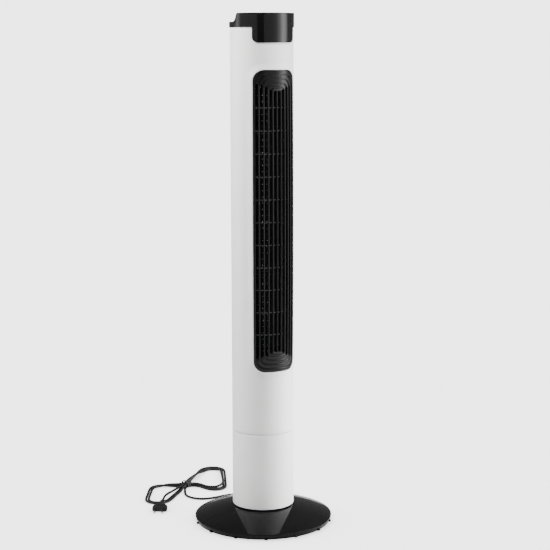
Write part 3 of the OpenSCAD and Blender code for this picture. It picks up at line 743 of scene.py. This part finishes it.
def make_gland():
    place = Matrix.Translation((GLAND_X, 0, GLAND_Z)) @ Matrix.Rotation(-math.pi / 2, 4, "X")
    profile = [(2.9, 134.0), (6.7, 134.0), (7.0, 134.4), (7.0, 137.6), (6.7, 138.0), (5.45, 138.0),
               (5.45, 142.0)]
    for i in range(6):
        y, r = 143.0 + 3.2 * i, 5.4 - 0.24 * i
        profile += [(r - less, y + on) for less, on in
                    ((0, 0), (0, 1.3), (0.2, 1.55), (0.95, 1.7), (0.95, 2.75), (0.25, 2.95))]
    profile += [(3.9, 162.4), (3.8, 163.4), (3.5, 164.0), (3.05, 164.0)]
    return piece("strain_relief", Shape().lathe(profile, 40, place=place), "rubber", "base",
                 "cord_gland")


tie = make_tie()
make_gland()
plug_pieces = make_plug()
lead, lead_length = make_cord()


# ---- Foot ----

def dome_z(r, inward=0.0):
    return CROWN_Z - DOME_R + math.sqrt((DOME_R - inward) ** 2 - r * r)


def foot_profile():
    """Closed section of the foot's wall, from the hub hole out to the rim and back inside."""
    hole, wall, rim = 55.0, 2.6, 0.9
    out = [(hole, dome_z(hole) - 0.5), (hole + 0.15, dome_z(hole + 0.15) - 0.15)]
    out += [(r, dome_z(r)) for r in np.linspace(hole + 0.6, FOOT_R - rim, 34)]
    edge_z = dome_z(FOOT_R - rim)
    out += [(FOOT_R - 0.45, edge_z - 0.25), (FOOT_R - 0.12, edge_z - 0.7), (FOOT_R, edge_z - 1.3),
            (FOOT_R - 0.35, 11.0), (FOOT_R - 1.4, 8.0), (FOOT_R - 2.5, 5.0), (FOOT_R - 3.4, 2.5),
            (FOOT_R - 3.75, 2.1), (FOOT_R - 5.5, 2.1), (FOOT_R - 5.9, 2.5), (FOOT_R - 4.6, 6.5),
            (FOOT_R - 2.9, 11.2)]
    out += [(r, dome_z(r, wall)) for r in np.linspace(FOOT_R - 4.0, hole + 0.3, 16)]
    out += [(hole, dome_z(hole, wall) + 0.3)]
    return out


def seam_ring(profile, y, taken, way):
    """The foot's section where it lies in a plane along the seam, taken in a little."""
    ring = []
    for i, (r, z) in enumerate(profile):
        before, after = profile[i - 1], profile[(i + 1) % len(profile)]
        t = np.array((after[0] - before[0], after[1] - before[1]))
        n = np.array((t[1], -t[0])) / max(1e-6, np.linalg.norm(t))
        rr, zz = r + n[0] * taken, z + n[1] * taken
        ring.append((way * math.sqrt(rr * rr - y * y), y, zz))
    return ring


def add_wedge(shape, a):
    """A small wedge under the rim."""
    c, s = math.cos(a), math.sin(a)
    rings = []
    for r, bottom, top, half in ((FOOT_R - 6.0, 2.2, 8.0, 3.9), (FOOT_R - 2.2, 2.2, 7.6, 3.9),
                                 (FOOT_R + 0.4, 2.2, 5.4, 3.7), (FOOT_R + 0.95, 2.6, 4.2, 3.2)):
        rings.append([(r * c - t * s, r * s + t * c, z) for t, z in (
            (-half, bottom), (half, bottom), (half, bottom + 0.9), (half * 0.62, top),
            (-half * 0.62, top), (-half, bottom + 0.9))])
    shape.loft(rings)


def foot_half(name, node, first_deg, notch):
    """One half of the foot, with a small round on its seam edges and wedges under its rim. A notch
    in the rim lets the cord out."""
    profile = foot_profile()
    inset, gap, notch_z = 0.5, 0.25, 12.4
    first = math.radians(first_deg)
    steps = [math.radians(a) for a in np.linspace(0, 180, 122)[1:-1]]
    if notch:
        steps = sorted(steps + [math.radians(a) for a in (75.3, 75.35, 81.15, 81.2)])
    rings = [seam_ring(profile, gap, inset, 1), seam_ring(profile, gap + inset, 0.0, 1)]
    for a in steps:
        raised = notch and math.radians(75.32) < a < math.radians(81.17)
        ring = []
        for r, z in profile:
            if raised and z < notch_z and r > FOOT_R - 8:
                z = notch_z + (z - 2.1) * 0.02
            ring.append((r * math.cos(a), r * math.sin(a), z))
        rings.append(ring)
    rings += [seam_ring(profile, gap + inset, 0.0, -1), seam_ring(profile, gap, inset, -1)]
    c, s = math.cos(first), math.sin(first)
    shape = Shape().loft([[(x * c - y * s, x * s + y * c, z) for x, y, z in ring] for ring in rings])
    for i in range(7):
        add_wedge(shape, first + math.radians((i + 0.5) * 180 / 7))
    half = piece(name, shape, "gloss_black", "base", node, sharp=28)
    half.data.materials[0] = MATERIALS["gloss_black_foot"]


foot_half("foot_front", "base_front_half", 180, False)
foot_half("foot_rear", "base_rear_half", 0, True)


# ---- Column ----

def make_lower_tube():
    low, high = 43.4, JOINT_Z - 0.8
    profile = [(INNER_R, low + 0.4), (INNER_R + 0.4, low), (COLUMN_R - 0.9, low),
               (COLUMN_R - 0.35, low + 0.15), (COLUMN_R - 0.08, low + 0.5), (COLUMN_R, low + 1.0)]
    profile += [(COLUMN_R, z) for z in np.linspace(low + 6, high - 6, 9)]
    profile += [(COLUMN_R, high - 0.6), (COLUMN_R - 0.12, high - 0.2), (COLUMN_R - 0.5, high),
                (INNER_R + 0.3, high), (INNER_R, high - 0.3)]
    piece("lower_column", Shape().lathe(profile, 160), "satin_white", "tower", "lower_tube")


def shell_bounds(d):
    """The edge of a half shell, from the joint to under the cap."""
    return corner_box(HALF_WAY - 0.06 - d, JOINT_Z + d, CAP_Z - d, 0.4, 0.4, steps=3, side=60,
                      across=48)


def outlet_loop(d):
    return corner_box(OUTLET_HALF + d, OUTLET_LOW - d, OUTLET_HIGH + d, 27 + d, 24 + d,
                      steps=18, side=56, across=16)


SHELL_EDGE = [(0.3, -2.5), (0.0, -2.2), (0.0, -0.6), (0.12, -0.2), (0.5, 0.0)]
LIP = 2.6
LIP_EDGE = [(0.3, -2.5), (0.0, -2.2), (0.0, LIP - 0.8), (0.12, LIP - 0.38), (0.4, LIP - 0.1),
            (0.9, LIP), (1.6, LIP - 0.02), (5.0, LIP * 0.74), (9.0, LIP * 0.42), (12.5, LIP * 0.14),
            (14.0, LIP * 0.03), (15.5, 0.0)]


def column_seeds():
    """Points all over a half shell, in staggered rows."""
    step, rows = 5.0, int((CAP_Z - JOINT_Z) / 9.0)
    seeds = []
    for j in range(1, rows):
        for u in np.arange(-HALF_WAY + step / 2 * (1 + j % 2), HALF_WAY - 1.5, step):
            seeds.append((u, JOINT_Z + (CAP_Z - JOINT_Z) * j / rows))
    return seeds


def make_front_shell():
    shape = panel(shell_bounds, [outlet_loop], SHELL_EDGE, shell_place, column_seeds(), [LIP_EDGE])
    piece("front_housing", shape, "satin_white", "tower", "front_shell", sharp=32)


def slot_loop(u, v, half_u, r):
    """A long slot with round ends."""
    def loop(d):
        points = []
        for side in (1, -1):
            for i in range(7):
                a = math.pi / 2 * (i / 3 - side)
                points.append((u + side * (half_u - r) + (r + d) * math.cos(a),
                               v + (r + d) * math.sin(a)))
            for t in (0.25, 0.5, 0.75):
                points.append((u + side * (half_u - r) * (1 - 2 * t), v + side * (r + d)))
        return points
    return loop


def hole_loop(x, z, r):
    """A round hole along Y at a place on the column's side."""
    def loop(d):
        return [(COLUMN_R * math.asin((x + (r + d) * math.cos(a)) / COLUMN_R),
                 z + (r + d) * math.sin(a)) for a in circle(24)]
    return loop


GRIP_HALF, GRIP_LOW, GRIP_HIGH = 40.0, 1062.0, 1102.0
SCREW_PLACES = [(x, z) for z in (240.0, 300.0, 1035.0, 1127.0) for x in (-50.0, 50.0)]
SCREW_HOLE_R, BOSS_R, BOSS_Y = 3.8, 6.0, 38.5
SLOT_ROWS, SLOT_LOW, SLOT_PITCH = 46, 332.5, 14.6


def grip_loop(d):
    flat = corner_box(GRIP_HALF + d, GRIP_LOW - d, GRIP_HIGH + d, 8 + d, 8 + d, steps=8, side=8,
                      across=16)
    return [(COLUMN_R * math.asin(x / COLUMN_R), z) for x, z in flat]


def add_boss(shape, x, z):
    """The boss round a screw, which ends in the wall."""
    rings = []
    for r, deep in ((SCREW_HOLE_R, False), (BOSS_R, False), (BOSS_R, True), (SCREW_HOLE_R, True)):
        ring = []
        for a in circle(24):
            px = x + r * math.cos(a)
            y = BOSS_Y if deep else max(BOSS_Y, math.sqrt(69.6**2 - px * px))
            ring.append((px, y, z + r * math.sin(a)))
        rings.append(ring)
    shape.loft(rings, round_path=True)


def make_rear_shell():
    """The rear housing, with its grip opening, inlet slots and screws, and its inner face painted
    near-black as painted shade.
    """
    slot_edge = [(0.25, -2.5), (0.0, -2.25), (0.0, -0.6), (0.18, -0.18), (0.6, 0.0)]
    screw_edge = [(0.0, -2.5), (0.0, -0.6), (0.15, -0.15), (0.5, 0.0)]
    holes, edges = [grip_loop], [[(0.3, -2.5), (0.0, -2.2), (0.0, -1.1), (0.3, -0.35), (1.1, 0.0)]]
    for row in range(SLOT_ROWS):
        for column in (-1, 0, 1):
            holes.append(slot_loop(column * math.radians(33) * COLUMN_R, SLOT_LOW + row * SLOT_PITCH,
                                   math.radians(14) * COLUMN_R, 2.5))
            edges.append(slot_edge)
    for x, z in SCREW_PLACES:
        holes.append(hole_loop(x, z, SCREW_HOLE_R))
        edges.append(screw_edge)
    shape = panel(shell_bounds, holes, SHELL_EDGE, rear_place, column_seeds(), edges)
    for x, z in SCREW_PLACES:
        add_boss(shape, x, z)
    housing = piece("rear_housing", shape, "satin_white", "tower", "rear_shell", sharp=32)
    # The inward-facing faces get near-black paint: painted shade where the white moulding lies in
    # shadow behind the slots
    housing.data.materials.append(MATERIALS["inner_grey"])
    for face in housing.data.polygons:
        spot, out = face.center.xy, face.normal.xy
        if spot.length < (COLUMN_R - 0.6) * MM and out.dot(spot) < -0.3 * spot.length:
            face.material_index = 1


def make_grip():
    """The cup of the hand grip: a lip in the shell's hole, a sloping wall and a flat floor."""
    def ring(inset, r, depth, y=None):
        """A ring at a depth under the column's face, or at its own y."""
        return [(x, math.sqrt(COLUMN_R**2 - x * x) - depth if y is None else y, z)
                for x, z in corner_box(GRIP_HALF - inset, GRIP_LOW + inset, GRIP_HIGH - inset, r, r,
                                       steps=8, side=8, across=16)]

    face, back, bottom = 42.0, 40.0, (7.0, 3.0, 0)
    rim = ring(0.15, 7.9, 2.0)
    shape = Shape()
    shape.loft([rim, ring(0.15, 7.9, 0.7), ring(0.4, 7.7, 0.35), ring(0.9, 7.3, 0.3),
                ring(1.5, 7.0, 0.7), ring(1.8, 6.8, 1.6), ring(2.1, 6.5, 6.0), ring(3.0, 6.0, 0, 44.6),
                ring(3.6, 5.4, 0, 43.0), ring(5.0, 4.4, 0, 42.2), ring(*bottom, face)], caps=False)
    shape.loft([ring(*bottom, back), ring(1.6, 7.6, 0, 40.2), ring(0.15, 7.9, 0, 41.6), rim],
               caps=False)
    for y in (face, back):
        flat, faces = fill([(x, z) for x, _, z in ring(*bottom, y)], [],
                           [(x, z) for x in range(-28, 29, 7) for z in (1075, 1082, 1089)])
        shape.add([(x, y, z) for x, z in flat], faces)
    piece("hand_grip", shape, "satin_white", "tower", "grip_cup", sharp=40)


make_lower_tube()
make_front_shell()
make_rear_shell()
make_grip()


# ---- Outlet grille ----

FACE_R, RIB_BACK = 72.3, 66.9
RIB_PITCH = math.radians(8.3) * COLUMN_R
RIB_POINTS = {"steps": 16, "side": 72, "across": 14}


def face_bulge(z):
    """How far the grille's face stands proud, most at its middle."""
    return 1.9 * bulge(z)


# The grooves from the outside in: the middle line, and how far from the ends the slot starts
GROOVES = []
for k, (end, corner, start) in enumerate([(10.8, (21, 18.5), 31), (20.8, (15, 13.5), 34.5),
                                          (30.8, (10.5, 9), 38.5), (40.2, (7, 6), 43.5)]):
    line = corner_box(RIB_PITCH * (4.5 - k), OUTLET_LOW + end, OUTLET_HIGH - end, *corner, **RIB_POINTS)
    GROOVES.append((line, start))


def groove_half(z, start):
    """Half the width of a groove, which opens into a slot away from the ends."""
    narrow, wide = 0.55, 3.1
    away = min(z - OUTLET_LOW, OUTLET_HIGH - z)
    t = min(1.0, max(0.0, (away - start + 5.0) / 7.0))
    return narrow + (wide - narrow) * t * t * (3 - 2 * t)


def groove_edge(groove, way):
    """One side of a groove: its outer side for a way of 1, its inner one for -1."""
    loop, start = groove
    p = np.array(loop)
    t = np.roll(p, -1, axis=0) - np.roll(p, 1, axis=0)
    n = np.column_stack([t[:, 1], -t[:, 0]]) / np.linalg.norm(t, axis=1)[:, None]
    return p + n * np.array([way * groove_half(z, start) for _, z in loop])[:, None]


def rib_ring(a, b, crown=1.5, proud=0.0):
    """One section of a rib between two points of its sides, as (u, z, r)."""
    wide = np.linalg.norm(np.array(b) - np.array(a))
    face = FACE_R + proud + face_bulge((a[1] + b[1]) / 2)
    crown = min(crown, max(0.4, 2.3 - 0.2 * wide))
    edge = min(0.16, 0.9 / max(wide, 0.1))
    section = [(0, RIB_BACK), (0, face - crown - 0.9), (edge * 0.25, face - crown - 0.15),
               (edge, face - crown * 0.62), (0.3, face - crown * 0.2), (0.5, face),
               (0.7, face - crown * 0.2), (1 - edge, face - crown * 0.62),
               (1 - edge * 0.25, face - crown - 0.15), (1, face - crown - 0.9), (1, RIB_BACK)]
    ring = []
    for s, r in section:
        u, z = a[0] + (b[0] - a[0]) * s, a[1] + (b[1] - a[1]) * s
        ring.append(front_place(u, z, r - COLUMN_R))
    return ring


def groove_floor(loop, start, top):
    """The floor of a groove at the outlet's top or foot, up to where the slot starts."""
    limit = OUTLET_HIGH - start if top else OUTLET_LOW + start
    index = [i for i, (_, z) in enumerate(loop) if (z > limit if top else z < limit)]
    gaps = [i + 1 for i, (p, q) in enumerate(zip(index, index[1:])) if q - p > 1]
    if gaps:
        index = index[gaps[0]:] + index[:gaps[0]]
    path = np.array([loop[i] for i in index])
    t = np.gradient(path, axis=0)
    n = np.column_stack([t[:, 1], -t[:, 0]]) / np.linalg.norm(t, axis=1)[:, None]
    rings = []
    for p, q in zip(path, n):
        w = groove_half(p[1], start) + 0.6
        a, b = p + q * w, p - q * w
        low, high = RIB_BACK + 0.3 - COLUMN_R, FACE_R + face_bulge(p[1]) - 2.1 - COLUMN_R
        rings.append([front_place(*a, low), front_place(*a, high), front_place(*b, high),
                      front_place(*b, low)])
    return rings


def make_grille():
    """The frame, the nested ribs, the middle rib and the groove floors."""
    shape = Shape()
    frame_line = corner_box(OUTLET_HALF - 0.35, OUTLET_LOW + 0.35, OUTLET_HIGH - 0.35, 26.8, 23.8,
                            **RIB_POINTS)
    opening = corner_box(RIB_PITCH * 0.5 + 3.1, OUTLET_LOW + 46.5, OUTLET_HIGH - 46.5, 3.4, 3.4,
                         **RIB_POINTS)
    shape.loft([rib_ring(a, b, 0.9, 0.3) for a, b in zip(frame_line, groove_edge(GROOVES[0], 1))],
               round_path=True)
    inner_sides = [groove_edge(groove, 1) for groove in GROOVES[1:]] + [opening]
    for groove, side in zip(GROOVES, inner_sides):
        shape.loft([rib_ring(a, b) for a, b in zip(groove_edge(groove, -1), side)], round_path=True)
    shape.loft([rib_ring((2.05, z), (-2.05, z))
                for z in np.linspace(OUTLET_LOW + 44, OUTLET_HIGH - 44, 60)])
    for groove in GROOVES:
        for top in (True, False):
            shape.loft(groove_floor(*groove, top))
    piece("outlet_grille", shape, "grille_black", "tower", "front_grille", sharp=50)


make_grille()


# ---- Cap and keys ----

BUTTONS = ("power", "speed", "mode", "timer", "swing")
BUTTON_Y, BUTTON_STEP, BUTTON_HOLE = -44.0, 16.0, 6.0
ROOF_Z, INLAY_TOP = TOP_Z - 2.0, TOP_Z - 0.6


def button_x(i):
    return (i - 2) * BUTTON_STEP


def button_place(i):
    return Matrix.Translation((button_x(i), BUTTON_Y, 0))


def prism(name, outline, low, high, place):
    """A straight prism for cutting: an outline in a plane, from low to high across it."""
    return build(name, Shape().loft([[place(u, v, w) for u, v in outline] for w in (low, high)]),
                 cutter=True)


def upright(name, outline, low, high):
    return prism(name, outline, low, high, lambda u, v, w: (u, v, w))


def across_x(name, outline):
    return prism(name, outline, -95, 95, lambda u, v, w: (w, u, v))


def turned_solid(name, profile, steps, place=None):
    return build(name, Shape().lathe(profile, steps, closed=False, place=place), cutter=True)


def cut(obj, tool, operation):
    """Applies one boolean to obj and removes the tool."""
    mod = obj.modifiers.new("cut", "BOOLEAN")
    mod.operation, mod.object, mod.solver = operation, tool, "EXACT"
    apply_all(obj)
    bpy.data.objects.remove(tool)


def apply_all(obj):
    """Turns the modifiers of obj into its mesh."""
    bpy.context.view_layer.update()
    old = obj.data
    obj.data = bpy.data.meshes.new_from_object(
        obj.evaluated_get(bpy.context.evaluated_depsgraph_get()))
    obj.modifiers.clear()
    bpy.data.meshes.remove(old)


def head_side(taken):
    """The side view of the cap as (y, z): its flat deck, the swept step and the raised head."""
    knots = [(2.0, DECK_Z), (-3.0, DECK_Z + 0.5), (-7.0, DECK_Z + 2.6), (-10.0, DECK_Z + 6.4),
             (-12.2, DECK_Z + 11.2), (-13.9, DECK_Z + 15.6), (-15.8, DECK_Z + 18.1), (-19.0, TOP_Z)]
    curve = smooth_line(knots, 0.8)
    t = np.gradient(curve, axis=0)
    n = np.column_stack([-t[:, 1], t[:, 0]]) / np.linalg.norm(t, axis=1)[:, None]
    n[0], n[-1] = (0, -1), (0, -1)
    n = np.where(n[:, 1:] > 0, -n, n)
    curve = curve + n * taken
    return ([(-90, 1090), (90, 1090), (90, DECK_Z - taken)] + [tuple(p) for p in curve]
            + [(-90, TOP_Z - taken)])


def tongue_cutter():
    """All that lies below the cap's band, apart from the tongue."""
    half, r, small = CAP_R * math.sin(OUTLET_ANGLE), 11.0, 1.6
    right = [(half + small, CAP_Z)]
    right += [(half + small - small * math.sin(a), CAP_Z - small + small * math.cos(a))
              for a in np.radians((15, 30, 45, 60, 75, 90))]
    right += [(half, TONGUE_Z + r)]
    right += [(half - r + r * math.cos(a), TONGUE_Z + r - r * math.sin(a))
              for a in np.radians(np.linspace(7.5, 90, 12))]
    left = [(-x, z) for x, z in reversed(right)]
    outline = [(95, CAP_Z), *right, *left, (-95, CAP_Z), (-95, 1080), (95, 1080)]
    return prism("below_band", outline, -95, -1, lambda u, v, w: (u, w, v))


def d_outline(r, edge_y, corner):
    """The D shape of the head's top: an arc at the front and a straight back with round corners."""
    inner = r - corner
    y = edge_y - corner
    end = math.atan2(y, math.sqrt(inner * inner - y * y))
    cx = math.sqrt(inner * inner - y * y)
    points = [(cx + corner * math.cos(a), y + corner * math.sin(a))
              for a in np.linspace(math.pi / 2, end, 9)[:-1]]
    points += [(r * math.cos(a), r * math.sin(a)) for a in np.linspace(end, -math.pi - end, 64)]
    points += [(-cx + corner * math.cos(a), y + corner * math.sin(a))
               for a in np.linspace(math.pi - end, math.pi / 2, 9)[1:]]
    return points


def make_cap():
    """The cap: a drum cut to its side view, hollowed out, with a recess and the button holes."""
    cap = turned_solid("cap_moulding", [(0, TONGUE_Z), (CAP_R, TONGUE_Z), (CAP_R, TOP_Z + 6),
                                        (0, TOP_Z + 6)], 256)
    cut(cap, across_x("side", head_side(0.0)), "INTERSECT")
    cut(cap, tongue_cutter(), "DIFFERENCE")
    back = [(-95, -1.0), (95, -1.0), (95, 95), (-95, 95)]
    cut(cap, upright("back", back, 1080, CAP_Z), "DIFFERENCE")
    mod = cap.modifiers.new("round", "BEVEL")
    mod.width, mod.segments, mod.limit_method = 0.9 * MM, 3, "ANGLE"
    mod.angle_limit = math.radians(50)
    mod.use_clamp_overlap = True
    apply_all(cap)
    recess = d_outline(CAP_R - 3.0, -21.0, 5.0)
    cut(cap, upright("recess", recess, ROOF_Z, TOP_Z + 9), "DIFFERENCE")
    hollow = turned_solid("hollow", [(0, CAP_Z - 60), (71.12, CAP_Z - 60), (71.12, CAP_Z + 0.3),
                                     (69.5, CAP_Z + 2), (69.5, TOP_Z), (0, TOP_Z)], 256)
    side = [(y, min(z, ROOF_Z - 2.5)) if z > DECK_Z else (y, z) for y, z in head_side(2.5)]
    cut(hollow, across_x("side", side), "INTERSECT")
    cut(cap, hollow, "DIFFERENCE")
    bore = [(0, ROOF_Z - 12), (BUTTON_HOLE, ROOF_Z - 12), (BUTTON_HOLE, ROOF_Z + 8), (0, ROOF_Z + 8)]
    for i in range(len(BUTTONS)):
        cut(cap, turned_solid("hole", bore, 40, button_place(i)), "DIFFERENCE")
    smooth(cap, 28)
    link_piece(cap, "gloss_black", "tower", ["top_cap"])


def make_inlay():
    def border(d):
        return d_outline(CAP_R - 3.12 - d, -21.12 - d, 4.9 - d)

    def round_hole(x):
        return lambda d: [(x + (BUTTON_HOLE + d) * math.cos(a),
                           BUTTON_Y + (BUTTON_HOLE + d) * math.sin(a)) for a in circle(40)]

    edge = [(0.2, -1.4), (0.0, -1.2), (0.0, -0.3), (0.1, -0.08), (0.3, 0.0)]
    holes = [round_hole(button_x(i)) for i in range(len(BUTTONS))]
    shape = panel(border, holes, edge, lambda u, v, h: (u, v, INLAY_TOP + h))
    piece("key_panel", shape, "gloss_black", "tower", "button_inlay", sharp=30)


MARK_Z = 1169.72
MARK_SECTION = ((-1, -0.12), (-0.8, 0.12), (0.8, 0.12), (1, -0.12))


def mark_bar(x, y, length, width, degrees):
    """A short raised bar on top of a key."""
    c, s = math.cos(math.radians(degrees)), math.sin(math.radians(degrees))
    rings = []
    for end, taken in ((-1, 0.12), (-0.9, 0.0), (0.9, 0.0), (1, 0.12)):
        ring = []
        for side, top in MARK_SECTION:
            a, b = end * length / 2, side * (width / 2 - taken)
            ring.append((x + a * c - b * s, y + a * s + b * c, MARK_Z + top))
        rings.append(ring)
    return rings


def mark_arc(x, y, r, width, first, last):
    """A raised arc on top of a key, from one angle to another in degrees."""
    rings = []
    for a in np.linspace(math.radians(first), math.radians(last), 15):
        ring = []
        for side, top in MARK_SECTION:
            q = r + side * width / 2
            ring.append((x + q * math.cos(a), y + q * math.sin(a), MARK_Z + top))
        rings.append(ring)
    return rings


# Each key's mark as arcs (x, y, r, width, first, last) and bars (x, y, length, width, degrees),
# from the middle of the key
MARKS = {
    "power": [(0, 0, 2.0, 0.5, 125, 415), (0, 1.7, 1.9, 0.5, 90)],
    "speed": [(-1.6 + 1.6 * k, -1.0 + 0.5 * k, 1.6 + k, 0.6, 90) for k in range(3)],
    "mode": [(side * 1.1, 1.2 * k, 1.1, 0.4, first, first + 140)
             for k in (-1, 0, 1) for side, first in ((-1, 20), (1, 200))],
    "timer": [(0, 0, 2.2, 0.5, 0, 359.427), (0, 0.6, 1.5, 0.45, 90), (0.5, 0, 1.3, 0.45, 0)],
    "swing": [(0, -1.2, 2.6, 0.5, 40, 140)] + [bar for side in (-1, 1) for bar in (
        (side * 2.0, 0.9, 1.3, 0.45, 90 - side * 55), (side * 1.6, 0.2, 1.1, 0.45, side * 10))],
}
KEY_PROFILE = [(0, 1150.2), (1.8, 1150.2), (2.0, 1150.5), (2.0, 1162.8), (7.2, 1162.8), (7.4, 1163.0),
               (7.4, 1164.6), (7.2, 1164.9), (5.5, 1164.9), (5.5, 1169.3), (5.35, 1169.7),
               (5.0, 1169.9), (4.5, 1169.88), (3.0, 1169.72), (0, 1169.62)]


def make_keys():
    for i, name in enumerate(BUTTONS):
        body = "key_" + name
        key = Shape().lathe(KEY_PROFILE, 56, closed=False, place=button_place(i))
        piece(name + "_key", key, "key_grey", body, "button_" + name)
        mark = Shape()
        for dx, dy, *sizes in MARKS[name]:
            make = mark_arc if len(sizes) == 4 else mark_bar
            mark.loft(make(button_x(i) + dx, BUTTON_Y + dy, *sizes))
        piece(name + "_mark", mark, "satin_white", body)


make_cap()
make_inlay()
make_keys()


# ---- The CAD parts that keep their shape ----

for part in NODES.values():
    for part_slot in part.material_slots:
        part_slot.material = MATERIALS[part_slot.material.name]
